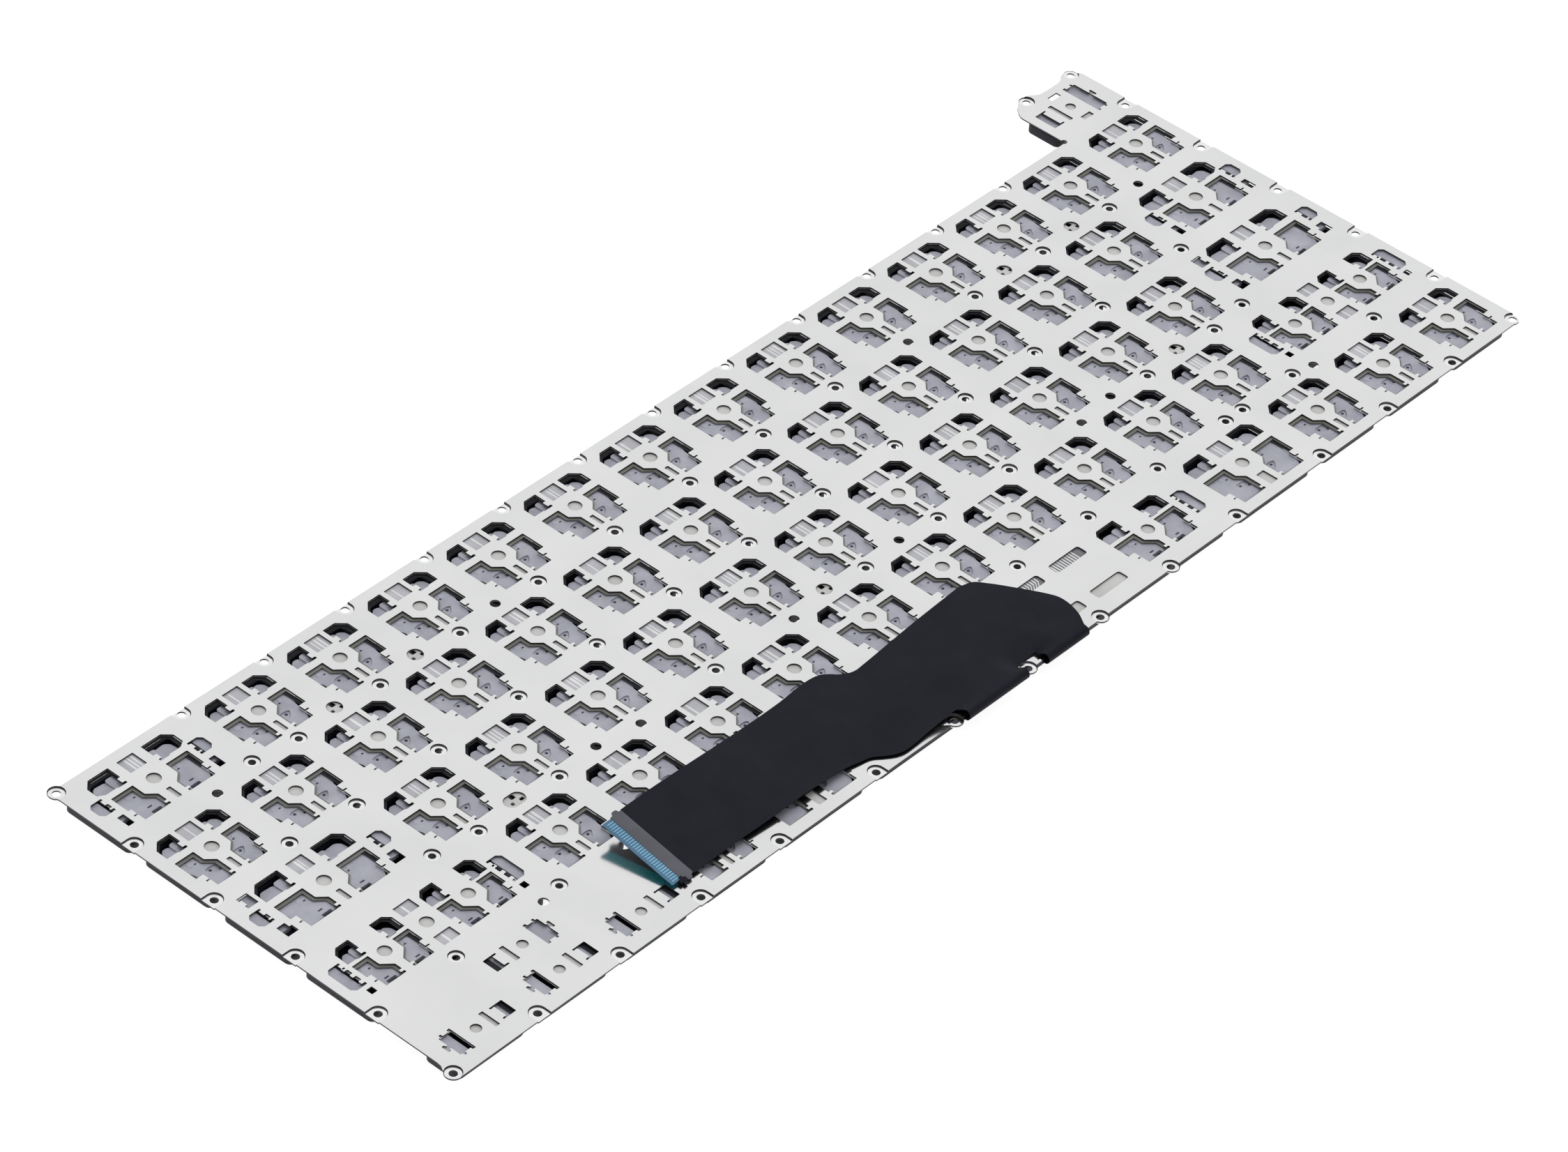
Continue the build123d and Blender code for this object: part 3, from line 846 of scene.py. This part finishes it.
def plate_outline():
    """The plate's edge, anticlockwise from the bottom left ear, with round ears at its screws."""
    ear = DIMPLE
    points = [(LEFT, -77.6), (LEFT - 0.12, -78.5)] + arc(*CORNER_EARS["bottom"], ear, 128, 285)
    for u in sorted(EAR_COLUMNS, reverse=True):
        rise = BOTTOM - EAR_Y
        half = (ear**2 - rise**2) ** 0.5
        angle = atan2(-rise, half) * 180 / pi
        points += arc(-PITCH * u, EAR_Y, ear, 180 + angle, 360 - angle)
    points += arc(*CORNER_EARS["right"], 1.2, 270, 360)
    points += [(RIGHT, 20.9)] + arc(*TAB_EARS[1], 1.45, -20, 130)
    dip = [(-3.4, 23.2), (-4.6, 22.4), (-6.2, 22.15), (-9.8, 22.15), (-11.2, 22.45), (-12.3, 23.3)]
    points += spline(dip)
    points += arc(*TAB_EARS[0], 1.5, 60, 140)
    points += [(-17.3, 22.2), (-18.4, 20.9), (-18.9, 20.0), (TAB_LEFT, 19.4)]
    points += arc(TAB_LEFT, 9.45, TAB_RELIEF, 90, -150)
    points += [(TAB_LEFT - 1.0, TOP)]
    return points + arc(*CORNER_EARS["top"], ear, 27, 230) + [(LEFT, 6.6)]


def plate():
    holes = plate_windows()
    rings = []
    for x, y, way, scale in DIMPLES:
        holes.append(circle(x, y, SCREW_HOLE * scale))
        rings += [dimple_loop(x, y, way, radius * scale) for radius in (DIMPLE, DIMPLE_FLOOR)]
    for rows, radius in ((SMALL_HOLES, SMALL_HOLE), (LARGE_HOLES, LARGE_HOLE)):
        holes += [circle(x, y, radius) for x, y in grid_places(rows)]
    u, y, half = LONG_HOLE
    x = -PITCH * u
    holes.append(arc(x + half, y, LARGE_HOLE, -90, 90) + arc(x - half, y, LARGE_HOLE, 90, 270))
    solid = sheet(plate_outline(), holes, BACK - SHEET, BACK, rings, pressed)
    # The plate's cut edges get the dark coat of painted shade
    obj = piece("stamped_plate", solid, STEEL, "steel_plate", replaces=["base_plate"], edge=SHADED_WALL)
    obj.data.materials.append(COINED)
    floor_level = (BACK - DIMPLE_DEPTH) * MM
    for face in obj.data.polygons:
        if len(face.vertices) == 3 and face.normal.z > 0.99 and abs(face.center.z - floor_level) < 1e-6:
            face.material_index = 2
        # Sloped dimple walls get the painted shade coat as well
        if len(face.vertices) == 3 and 0.05 < face.normal.z < 0.9:
            face.material_index = 1
    return obj


# Membrane and its tracks
LARGE_HOLE_CUTS = (box(-0.1, 1.0, 0.5, 1.6), box(0.9, 1.9, -0.7, 0.0), box(-1.0, -0.3, -0.6, 0.1))


def membrane_outline():
    edge = MEMBRANE_EDGE
    tab_top = TAB_TOP - TAB_SHORT
    tab = [(RIGHT - edge, tab_top), (TAB_LEFT + edge, tab_top), (TAB_LEFT + edge, TOP - edge)]
    outline = box(LEFT + edge, RIGHT - edge, BOTTOM + edge, TOP - edge)
    return outline[:2] + tab + [outline[3]]


def membrane_holes():
    """The membrane's openings: under the windows, round the screws and under the plain holes."""
    holes = []
    for key, (x, y, width, depth) in ALL_KEYS.items():
        if key in HALF_KEYS:
            for near, far in ((2.9, 6.4), (-7.8, -4.5)):
                tall = 4.2 if key == "escape" and near > 0 else 2.55
                holes.append(moved(box(near, far, -tall, tall), x, y, HALF_KEYS[key]))
        for sx, sy, shape in stations(key, x, y):
            for side in (-1, 1):
                for window in (upper_window, lower_window):
                    holes.append(moved(window(shape, -CUT_MARGIN, False), sx, sy, side))
        if key in BRACKET_SPANS:
            low, high = BRACKET_SPANS[key]
            end = 0.5 * width
            plans = [box(end - 2.9, end + 0.5, low - 0.2, high + 0.4)]
            if key != "space_bar":
                plans.append(box(end - 4.2, end - 1.3, -5.6, -2.4))
            holes += [moved(plan, x, y, side) for plan in plans for side in (-1, 1)]
        if key in CATCH_WINDOWS:
            left, foot = CATCH_WINDOWS[key][0], CATCH_FOOT
            holes.append(moved(box(left - 0.1, left + 2.7, foot - 0.1, foot + 3.1), x, y))
    holes += [dimple_loop(x, y, way, DIMPLE + CLEARANCE) for x, y, way, _ in DIMPLES]
    holes += [circle(x, y, SMALL_HOLE + CLEARANCE, 16) for x, y in grid_places(SMALL_HOLES)]
    for x, y in grid_places(LARGE_HOLE_SPOTS):
        holes += [moved(rounded(plan, 0.2), x, y) for plan in LARGE_HOLE_CUTS]
    return holes


def strips(name, plans, low, high, material):
    """Flat strips between two heights, as one piece of the membrane."""
    solids = [sheet(plan, [], low, high) for plan in plans]
    piece(name, joined(solids), material, "membrane_film")


def membrane():
    """The switch sheet, its margins and linings in the windows, its cut edges coloured bright as a
    painted highlight, and painted highlight lines along the outer side of some windows.
    """
    ground = membrane_low.z + FLOOR_GAP
    roof = membrane_high.z - TRACK_HEIGHT - FACE_GAP
    lining_roof = membrane_low.z + LINING_HEIGHT
    solid = sheet(membrane_outline(), membrane_holes(), ground, roof)
    # The membrane's cut edges are coloured bright as a painted highlight
    piece("switch_membrane", solid, MEMBRANE, "membrane_film", replaces=["membrane"], edge=EDGE_HIGHLIGHT)
    margins, linings, lines = [], [], []
    rims = [
        (upper_window, UPPER_REACH, linings, lining_roof),
        (lower_window, MEMBRANE_REACH, margins, roof),
    ]
    for key, (x, y, width, depth) in ALL_KEYS.items():
        if key in HALF_KEYS:
            outer = moved(box(-7.9, -4.4, -2.6, 2.9), x, y, HALF_KEYS[key])
            strip = moved(box(*HALF_STRIPS.get(key, HALF_STRIP), -2.5, 2.8), x, y)
            linings.append(sheet(outer, [strip], ground, lining_roof))
        for sx, sy, shape in stations(key, x, y):
            for side in (-1, 1):
                for window, reach, kept, rim_roof in rims:
                    plans = [window(shape, inset, False) for inset in (-CUT_MARGIN, reach)]
                    outer, inner = (moved(plan, sx, sy, side) for plan in plans)
                    kept.append(sheet(outer, [inner], ground, rim_roof))
            _, upper_side, low, high, cut, _ = shape["upper"]
            _, lower_side, _, _, head, _, _, step, _ = shape["lower"]
            spans = [(upper_side, low + 0.9, high - cut), (lower_side, 0.5 * (step + head), head - 0.2)]
            # Bright strips as painted highlights along the outer side of some windows
            for at, a, b in spans:
                if random.random() < HIGHLIGHT_LINE_SHARE:
                    lines.append(moved(box(at - 0.09, at + 0.1, a, b), sx, sy))
            for at, a, b in ((upper_side, low, high - 0.7 * cut), (lower_side, step, head)):
                strip = moved(box(at - OUTER_REACH, at + 0.1, a, b), sx, sy)
                linings.append(sheet(strip, [], membrane_low.z + STRIP_GAP, lining_roof - STRIP_GAP))
    piece("membrane_margins", joined(margins), OLIVE, "membrane_film", edge=OLIVE)
    piece("window_linings", joined(linings), LINING, "membrane_film", edge=LINING_EDGE)
    deep, shallow = HIGHLIGHT_LINE_DEPTHS
    strips("painted_edge_highlights", lines, membrane_high.z - deep, membrane_high.z - shallow, EDGE_HIGHLIGHT)


def tracks():
    """Printed silver lines that cross the track windows, and the grounds below them; in the space bar's
    slots the ground is dark, as painted shade.
    """
    low = membrane_high.z - TRACK_HEIGHT - FACE_GAP
    high = membrane_high.z - FACE_GAP
    margin = GROUND_MARGIN
    plans, grounds = [], []
    for key, (x, y, width, depth) in ALL_KEYS.items():
        for sx, sy, shape in stations(key, x, y):
            if not shape["tracks"]:
                continue
            half, bottom, top = shape["tracks"]
            count = random.choice(TRACK_COUNTS)
            start = random.uniform(-1.0, 0.0)
            for i in range(count):
                left = sx + (start + i * TRACK_STEP)
                right = left + random.choice(TRACK_WIDTHS)
                plans.append(box(left, right, sy + bottom - margin, sy + top + TRACK_REACH))
            ground = box(-half - margin, half + margin, bottom - margin, top + margin)
            grounds.append(moved(ground, sx, sy))
        if key.endswith("shift"):
            left, right = x - SHIFT_TRACK[0], x + SHIFT_TRACK[1]
            plans += [box(left, right, y + a, y + b) for a, b in SHIFT_TRACKS]
            wide = SHIFT_HALF + margin
            grounds += [moved(box(-wide, wide, a - margin, b + margin), x, y) for a, b in SHIFT_WINDOWS]
    bottom, top = TRACK_SLOT_HEIGHTS[0]
    toe, head = bottom - SLOT_TRACK_REACH, top + SLOT_TRACK_REACH
    middle = 0.5 * (bottom + top)
    step = SLOT_TRACK_STEP
    (left, _), (_, right) = TRACK_SLOTS
    plans += [box(left + 0.5 + step * i, left + 0.78 + step * i, toe, head) for i in range(10)]
    for i in range(9):
        start = right - 0.6 - step * i
        plan = [(start, head), (start - 0.26, head), (start - 0.26, middle), (start - 1.7, toe)]
        plans.append(plan + [(start - 1.4, toe), (start, middle + 0.1)])
    strips("silver_tracks", plans, low + STRIP_GAP, high, TRACK)
    strips("track_grounds", grounds, low - STRIP_GAP, low + GROUND_TOP, GROUND)
    # The slots' ground is coloured dark as painted shade
    slot_shades = [box(a - margin, b + margin, bottom - margin, top + margin) for a, b in TRACK_SLOTS]
    strips("slot_shade_grounds", slot_shades, low - STRIP_GAP, low + GROUND_TOP, SLOT_SHADE)


# Caps
def corner_loop(x, y, half_x, half_y, radius, z):
    points = []
    for turn, cx, cy in ((0, 1, 1), (90, -1, 1), (180, -1, -1), (270, 1, -1)):
        middle = (x + cx * (half_x - radius), y + cy * (half_y - radius))
        points += [(*p, z) for p in arc(*middle, radius, turn, turn + 90, CORNER_STEPS)]
    return points


def cap(x, y, width, depth):
    """A shallow cap, top face down: rounded edges, upright sides and a hollow with a thin wall."""
    loops = []
    rim = [(0.0, CAP_SKIRT - CAP_LIP), (CAP_LIP, CAP_SKIRT)]
    rim += [(CAP_WALL, CAP_SKIRT), (CAP_WALL + CAP_DRAFT, CAP_HOLLOW)]
    for inset, z in (*CAP_EDGE, *rim):
        radius = max(CAP_INNER_CORNER, CAP_CORNER - inset)
        loops.append(corner_loop(x, y, 0.5 * width - inset, 0.5 * depth - inset, radius, z))
    return stack(loops)


def caps():
    number_row = joined([cap(*place) for place in NUMBERS.values()])
    piece("number_caps", number_row, CAP, "keycap_plastic", replaces=["number_row_keycaps"])
    for key, (x, y, width, depth) in KEYS.items():
        more = LONG_ENDS.get(key, 0.0)
        solid = cap(x - 0.5 * more, y, width + more, depth)
        piece(f"{key}_cap", solid, CAP, "keycap_plastic", f"{key}_key", [f"{key}_keycap"])


# Hinges
def tilted(solid, head, foot, head_z, foot_z):
    """A flat solid leaned across the row: at one height up to its head, at another from its foot."""
    points, faces = solid
    points = np.array(points)
    share = np.clip((head - points[:, 1]) / (head - foot), 0, 1)
    points[:, 2] += head_z + (foot_z - head_z) * share
    return points, faces


def hinge(x, y, shape):
    """One scissor hinge: an outer frame that leans one way, a yoke that leans the other way, and lugs."""
    inner, outer, _, high, _, _ = shape["upper"]
    top_in, top_out, foot_in, foot_out, _, slant, waist, step, bottom = shape["lower"]
    reach = top_out - 0.42
    crown = high - 1.0
    toe = bottom + 0.55
    split = inner + 0.3 * (outer - inner)
    right = [(foot_out - 0.4, toe), (foot_out, toe + 0.9), (foot_out + 0.55, toe + 1.1)]
    right += [(foot_out + 0.55, step + 1.35), (reach, step + 2.4), (reach, 1.3)]
    right += [(outer - 0.95, 2.2), (outer - 0.95, crown - 0.9), (outer - 1.8, crown)]
    right += [(split, crown - 0.2), (split, 2.1), (top_in - 0.5, 1.6), (top_in - 0.5, slant)]
    right += [(foot_in - 0.5, waist), (foot_in - 0.5, toe + 0.2)]
    ground = CAP_HEIGHT + SEAT + 0.3
    holes = [rounded(box(top_in + 1.0, top_in + 1.5, -0.75, -0.4), 0.1)]
    bowl = [(foot_in - 0.2, waist + 0.1), (foot_in + 2.1, waist + 0.2), (foot_in + 2.9, waist - 0.1)]
    bowl += [(foot_in + 2.3, waist - 1.0), (foot_in + 1.5, waist - 1.7), (foot_in + 0.1, waist - 1.7)]
    bowl = rounded(bowl, 0.7)
    spots = [circle(foot_in + 0.35, waist - 1.1, 0.28, 10), circle(foot_in + 1.9, waist - 0.35, 0.3, 10)]
    if shape["bowl"]:
        holes.append(bowl)
    else:
        holes.append(rounded(box(foot_in + 2.1, foot_in + 3.1, waist - 0.85, waist - 0.5), 0.15))
        holes.append(rounded(box(foot_in + 1.2, foot_in + 3.3, toe + 0.1, toe + 0.75), 0.2))
    lug = rounded(box(inner - 0.2, split + 0.1, 1.7, crown - 0.1), 0.6)
    solids = []
    leg_points, leg_faces = sheet(rounded(right, 0.5), holes, 0.0, FRAME_THICK)
    for side in (-1, 1):
        leg = (leg_points * (side, 1, 1) + (x, y, 0), [f[::side] for f in leg_faces])
        solids.append(tilted(leg, y + crown, y - 0.3, ground, HINGE_Z))
        solids.append(sheet(moved(lug, x, y, side), [], HINGE_Z - 0.2, HINGE_Z + 0.6))
        if shape["bowl"]:
            pits = [moved(spot, x, y, side) for spot in spots]
            bowl_top = HINGE_Z + FRAME_THICK - BOWL_DEPTH
            solids.append(sheet(moved(bowl, x, y, side), pits, HINGE_Z + 0.1, bowl_top))
        hub = circle(x + side * (top_in + 2.0), y - 0.2, 0.6, 16)
        solids.append(sheet(hub, [], HINGE_Z, HINGE_Z + FRAME_THICK + 0.02))
    yoke_top = waist + 0.2 if shape["bowl"] else toe + 2.6
    yoke = [box(-top_in - 1.6, top_in + 1.6, toe + 1.2, yoke_top)]
    for middle in (-(top_in + 0.9), top_in + 0.9):
        yoke.append(box(middle - 0.7, middle + 0.7, toe + 1.2, crown - 0.9))
    for plan in yoke:
        bar = sheet(moved(rounded(plan, 0.3), x, y), [], 0.0, YOKE_THICK)
        solids.append(tilted(bar, y + crown, y + toe, HINGE_Z - 0.1, ground - 0.2))
    return solids


def half_hinge(key, x, y):
    """The hinge plate and the hook of a half-height key."""
    tall, hook = (4.9, 2.5) if key == "escape" else (3.0, 1.7)
    left, right = HALF_STRIPS.get(key, HALF_STRIP)
    plate_plan = moved(rounded(box(3.6, 6.9, -tall, tall), 0.4), x, y, HALF_KEYS[key])
    hook_plan = moved(rounded(box(left - 0.1, right + 0.9, -hook, hook + 0.8), 0.4), x, y)
    return [sheet(plan, [], HINGE_Z, HINGE_Z + FRAME_THICK) for plan in (plate_plan, hook_plan)]


def level_bars(key, x, y, width):
    """The ends of the bar that keeps a wide cap level, under the plate's end windows."""
    low, high = BRACKET_SPANS[key]
    end = 0.5 * width
    foot, head = low + 0.2, high + 0.25
    bars = [box(-end + 0.05, -end + 2.3, foot, head), box(end - 1.65, end + 0.4, foot, head)]
    bars = [moved(rounded(bar, 0.4), x, y) for bar in bars]
    plans = []
    if key != "space_bar":
        middle = end - (2.75 if key in CATCH_WINDOWS else 2.35)
        plans += [box(at - 1.2, at + 1.6, -3.4, -1.9) for at in (-middle, middle)]
    if key in CATCH_WINDOWS:
        left = CATCH_WINDOWS[key][0]
        plans.append(box(left + 0.3, left + 3.2, CATCH_FOOT - 0.2, CATCH_FOOT + 3.0))
    plans = [moved(rounded(plan, 0.3), x, y) for plan in plans]
    solids = [sheet(bar, [], HINGE_Z, HINGE_Z + LEVEL_BAR_THICK) for bar in bars]
    return solids + [sheet(plan, [], HINGE_Z, HINGE_Z + FRAME_THICK) for plan in plans]


def key_hinges(key, x, y, width):
    if key in HALF_KEYS:
        return half_hinge(key, x, y)
    solids = []
    for station in stations(key, x, y):
        solids += hinge(*station)
    if key in BRACKET_SPANS:
        solids += level_bars(key, x, y, width)
    return solids


# Domes
def dome(x, y, scale=1.0):
    """A spring dome: flat skirt, sloping wall and a round tip against the cap."""
    base = membrane_low.z
    tip = CAP_HEIGHT + SEAT
    profile = [(1.0, 0.0), (1.0, 0.1), (0.8, 0.16), (0.62, 0.62), (0.5, 0.76), (0.46, 0.97), (0.36, 1.0)]
    loops = []
    for share, rise in profile:
        radius = scale * DOME_BASE * share
        z = base + (tip - base) * rise
        loops.append([(*p, z) for p in reversed(circle(x, y, radius, DOME_STEPS))])
    return stack(loops)


def springs():
    """Every key's hinges and dome."""
    hinge_looks = dict(material=PLASTIC, slot="scissor_plastic", replaces=["scissor_frames"])
    dome_looks = dict(material=RUBBER, slot="dome_rubber", replaces=["rubber_domes"])
    hinges, domes = [], []
    for key, (x, y, width, depth) in NUMBERS.items():
        hinges += key_hinges(key, x, y, width)
        domes.append(dome(x, y))
    piece("number_hinges", joined(hinges), **hinge_looks)
    piece("number_domes", joined(domes), **dome_looks)
    for key, (x, y, width, depth) in KEYS.items():
        scale = HALF_DOME if key in HALF_KEYS else 1.0
        key_hinge = piece(f"{key}_hinge", joined(key_hinges(key, x, y, width)), **hinge_looks)
        key_dome = piece(f"{key}_dome", dome(x, y, scale), **dome_looks)
        for obj in (key_hinge, key_dome):
            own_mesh(obj)


# Film tail
def tail_outline():
    """The film laid flat: below the fold line it goes on as two tongues that wrap round the plate."""
    wrap = FOLD_Y - pi * FOLD_RADIUS - TONGUE_END
    low, high = TAIL_Y
    (left_a, right_a), (left_b, right_b) = TONGUES
    points = [(TAIL_END, low)]
    points += spline([(-206.0, low), *FILM_FOOT, (left_a - 0.2, -81.1), (left_a, FOLD_Y)])
    points += [(left_a, wrap), (right_a, wrap), (right_a, FOLD_Y)]
    points += spline([(right_a, FOLD_Y + 0.1), (right_a + 0.3, NOTCH_Y - 0.3), (right_a + 1.2, NOTCH_Y)])
    points += [(left_b, NOTCH_Y), (left_b, wrap), (right_b, wrap), (right_b, FOLD_Y)]
    points += spline([(right_b + 0.05, FOLD_Y + 0.3), *FILM_BELLY]) + spline(FILM_TOP)
    return points + [(TAIL_END, high)]


def curled(points, offset):
    """Flat film points folded round the plate's edge and twisted up at the tail's end. The offset is
    from the film's middle along its normal."""
    x, y = points.T
    middle = 0.5 * (membrane_low.z + membrane_high.z) + FOLD_RADIUS
    flat = middle + FOLD_RADIUS
    radius = FOLD_RADIUS + offset
    over = FOLD_Y - y
    turn = np.clip(over / FOLD_RADIUS, 0, pi)
    past = np.maximum(over - pi * FOLD_RADIUS, 0)
    share = np.clip((TWIST_START - x) / (TWIST_START - TAIL_END), 0, 1)
    share = share**2 * (3 - 2 * share)
    across = np.clip((y - TAIL_Y[0]) / (TAIL_Y[1] - TAIL_Y[0]), 0, 1)
    end = BACK + TAIL_LIFT[0] + (TAIL_LIFT[1] - TAIL_LIFT[0]) * across
    free = np.clip((y - FOLD_Y) / RIPPLE_START, 0, 1)
    ripple = RIPPLE * np.sin(x * 0.16 + 0.6) * np.sin(y * 0.21) * (1 - share) * free
    near_notch = np.exp(-(((x - NOTCH_X) / 3.8) ** 4) - ((y - NOTCH_Y) / 2.5) ** 2)
    foot = np.clip((EDGE_DIP_Y[1] - y) / (EDGE_DIP_Y[1] - EDGE_DIP_Y[0]), 0, 1)
    near_edge = np.exp(-(((x - EDGE_DIP_X) / EDGE_DIP_REACH) ** 4)) * foot**2 * (3 - 2 * foot)
    dip = (NOTCH_DIP * near_notch + EDGE_DIP * near_edge) * np.clip((y - FOLD_Y) / 1.2, 0, 1)
    level = flat + (end - flat) * share + ripple - dip + offset
    wrapped_y = FOLD_Y - radius * np.sin(turn) + past
    wrapped_z = middle + radius * np.cos(turn)
    folded = over > 0
    return np.c_[x, np.where(folded, wrapped_y, y), np.where(folded, wrapped_z, level)]


def tail():
    """The black film, with rows of points across the fold and the twist so that both are smooth."""
    extra = []
    for left, right in TONGUES:
        across = np.linspace(left, right, 10)
        for i in range(1, FOLD_STEPS):
            extra += [(x, FOLD_Y - pi * FOLD_RADIUS * i / FOLD_STEPS) for x in across]
        extra += [(x, FOLD_Y) for x in across]
    outline = tail_outline()
    grid = np.array([(x, y) for x in np.arange(-214, -121, 2.0) for y in np.arange(-81.5, -59, 1.5)])
    extra += [tuple(p) for p in grid[inside(grid, outline)]]
    dense = []
    for p, q in zip(outline, outline[1:] + outline[:1]):
        dx, dy = q[0] - p[0], q[1] - p[1]
        count = max(1, int(hypot(dx, dy) / 0.5))
        dense += [(p[0] + dx * k / count, p[1] + dy * k / count) for k in range(count)]
    solid = sheet(dense, [], -0.5 * FILM, 0.5 * FILM, extra=extra, lift=curled)
    return piece("film_tail", solid, BLACK, "ribbon_film", replaces=["ribbon_cable"], smooth=0.9)


def end_plane(points):
    """Points of the tail's end, from (along the tail, across it, above it) to the leaning plane."""
    points = np.array(points, float)
    rise = TAIL_LIFT[1] - TAIL_LIFT[0]
    width = TAIL_Y[1] - TAIL_Y[0]
    lean = atan2(rise, width)
    middle_y = 0.5 * (TAIL_Y[0] + TAIL_Y[1])
    middle_z = BACK + 0.5 * (TAIL_LIFT[0] + TAIL_LIFT[1])
    along, across, above = points.T
    y = middle_y + across * cos(lean) - above * sin(lean)
    z = middle_z + across * sin(lean) + above * cos(lean)
    return np.c_[TAIL_END - along, y, z]


def end_sheet(plan, low, high):
    """A flat outline in the tail's end plane as a thin sheet. The tail runs towards minus x."""
    points, faces = sheet(plan, [], low, high)
    return end_plane(points), [f[::-1] for f in faces]


def tail_end():
    """The stiffener, the contact blade with fingers on both faces, and the black cross at its corner."""
    half = 0.5 * (TAIL_Y[1] - TAIL_Y[0])
    ear = half + STIFFENER_EAR
    thick = 0.5 * END_SHEET
    plan = [(0, -half), (0.5, -half), (0.7, -ear), (1.7, -ear), (1.9, -half), (STIFFENER, -half)]
    solid = end_sheet(rounded(plan + flipped(plan), 0.25), -thick, thick)
    piece("tail_stiffener", solid, GREY, "stiffener_film", replaces=["cable_stiffener"])
    tip = half - BLADE_INSET
    face = 0.3 * thick
    blade = rounded(box(STIFFENER, STIFFENER + BLADE, -tip, tip), 0.2)
    piece("tail_blade", end_sheet(blade, -thick, face), TEAL, "contact_film", replaces=["contact_blade"])
    pitch = 2 * (tip - FINGER_INSET) / FINGERS
    root = STIFFENER + 0.05
    tops, backs = [], []
    for i in range(FINGERS):
        left = -tip + FINGER_INSET + i * pitch
        finger = box(root, STIFFENER + 1.55, left + 0.2 * pitch, left + 0.58 * pitch)
        tops.append(end_sheet(finger, face, face + FINGER_THICK))
        back = box(root, STIFFENER + 1.95, left + 0.1 * pitch, left + 0.68 * pitch)
        backs.append(end_sheet(back, -thick - FINGER_THICK, -thick))
    piece("tail_fingers", joined(tops), FINGER, "contact_film")
    # The underside contacts carry the brightened teal of painted light
    piece("tail_contacts", joined(backs), PAINTED_LIGHT_TEAL, "contact_film")
    arm, wide = CROSS_ARM
    cross = []
    quarter = [(wide, arm), (-wide, arm), (-wide, wide)]
    for _ in range(4):
        cross += quarter
        quarter = [(-py, px) for px, py in quarter]
    solid = end_sheet(moved(cross, STIFFENER - 0.1, -half - 0.1), -thick - 0.02, thick + 0.03)
    piece("tail_catch", solid, BLACK, "ribbon_film")


plate()
membrane()
tracks()
caps()
springs()
tail()
tail_end()


# Floor, light and camera
def floor():
    mesh = bpy.data.meshes.new("floor")
    size = FLOOR_SIZE
    corners = [(x, y, FLOOR_Z) for x, y in box(-size, size, -size, size)]
    mesh.from_pydata(corners, [], [(0, 1, 2, 3)])
    obj = bpy.data.objects.new("floor", mesh)
    bpy.context.scene.collection.objects.link(obj)
    paint = Paint("white_floor", Base_Color=FLOOR_COLOUR, Roughness=0.9, Emission_Color=(1, 1, 1, 1))
    seen = paint.math("MAXIMUM", paint.ray("Camera"), paint.ray("Glossy"))
    paint.put(paint.shader.inputs["Emission Strength"], paint.math("MULTIPLY", seen, FLOOR_GLOW))
    mesh.materials.append(paint.material)


def softbox(name, place, target, size, power):
    light = bpy.data.lights.new(name, "AREA")
    light.shape = "RECTANGLE"
    light.size, light.size_y = size
    light.energy = power
    obj = bpy.data.objects.new(name, light)
    obj.location = place
    obj.rotation_euler = (Vector(target) - Vector(place)).to_track_quat("-Z", "Y").to_euler()
    bpy.context.scene.collection.objects.link(obj)


def light():
    """A soft room that is brighter towards the far side of the Escape end, and a panel overhead."""
    world = bpy.data.worlds.new("studio")
    world.use_nodes = True
    room = Nodes(world.node_tree)
    coords = room.node("ShaderNodeTexCoord").outputs["Generated"]
    bright = Vector(BRIGHT_SIDE).normalized()
    facing = room.node("ShaderNodeVectorMath", {0: coords, 1: bright}, operation="DOT_PRODUCT")
    links = {"Value": facing.outputs["Value"]}
    links.update(zip(("From Min", "From Max", "To Min", "To Max"), (*ROOM_SPAN, *ROOM_LEVELS)))
    level = room.node("ShaderNodeMapRange", links).outputs["Result"]
    background = world.node_tree.nodes["Background"]
    room.put(background.inputs["Strength"], room.math("MAXIMUM", level, room.ray("Camera")))
    room.put(background.inputs["Color"], ROOM_COLOUR)
    bpy.context.scene.world = world
    softbox("overhead", (0.2, -0.05, 1.2), (0, 0, 0), (0.8, 0.8), OVERHEAD_POWER)


def camera():
    data = bpy.data.cameras.new("camera")
    data.lens = LENS
    data.sensor_width = SENSOR
    data.sensor_fit = "HORIZONTAL"
    data.clip_start = 0.05
    data.clip_end = 20
    obj = bpy.data.objects.new("camera", data)
    axes = Matrix((CAMERA_RIGHT, [-c for c in CAMERA_DOWN], [-c for c in CAMERA_AXIS])).transposed()
    obj.matrix_world = Matrix.Translation(Vector(CAMERA_PLACE) * MM) @ axes.to_4x4()
    bpy.context.scene.collection.objects.link(obj)
    bpy.context.scene.camera = obj


floor()
light()
camera()
bpy.context.scene.view_settings.view_transform = "Standard"
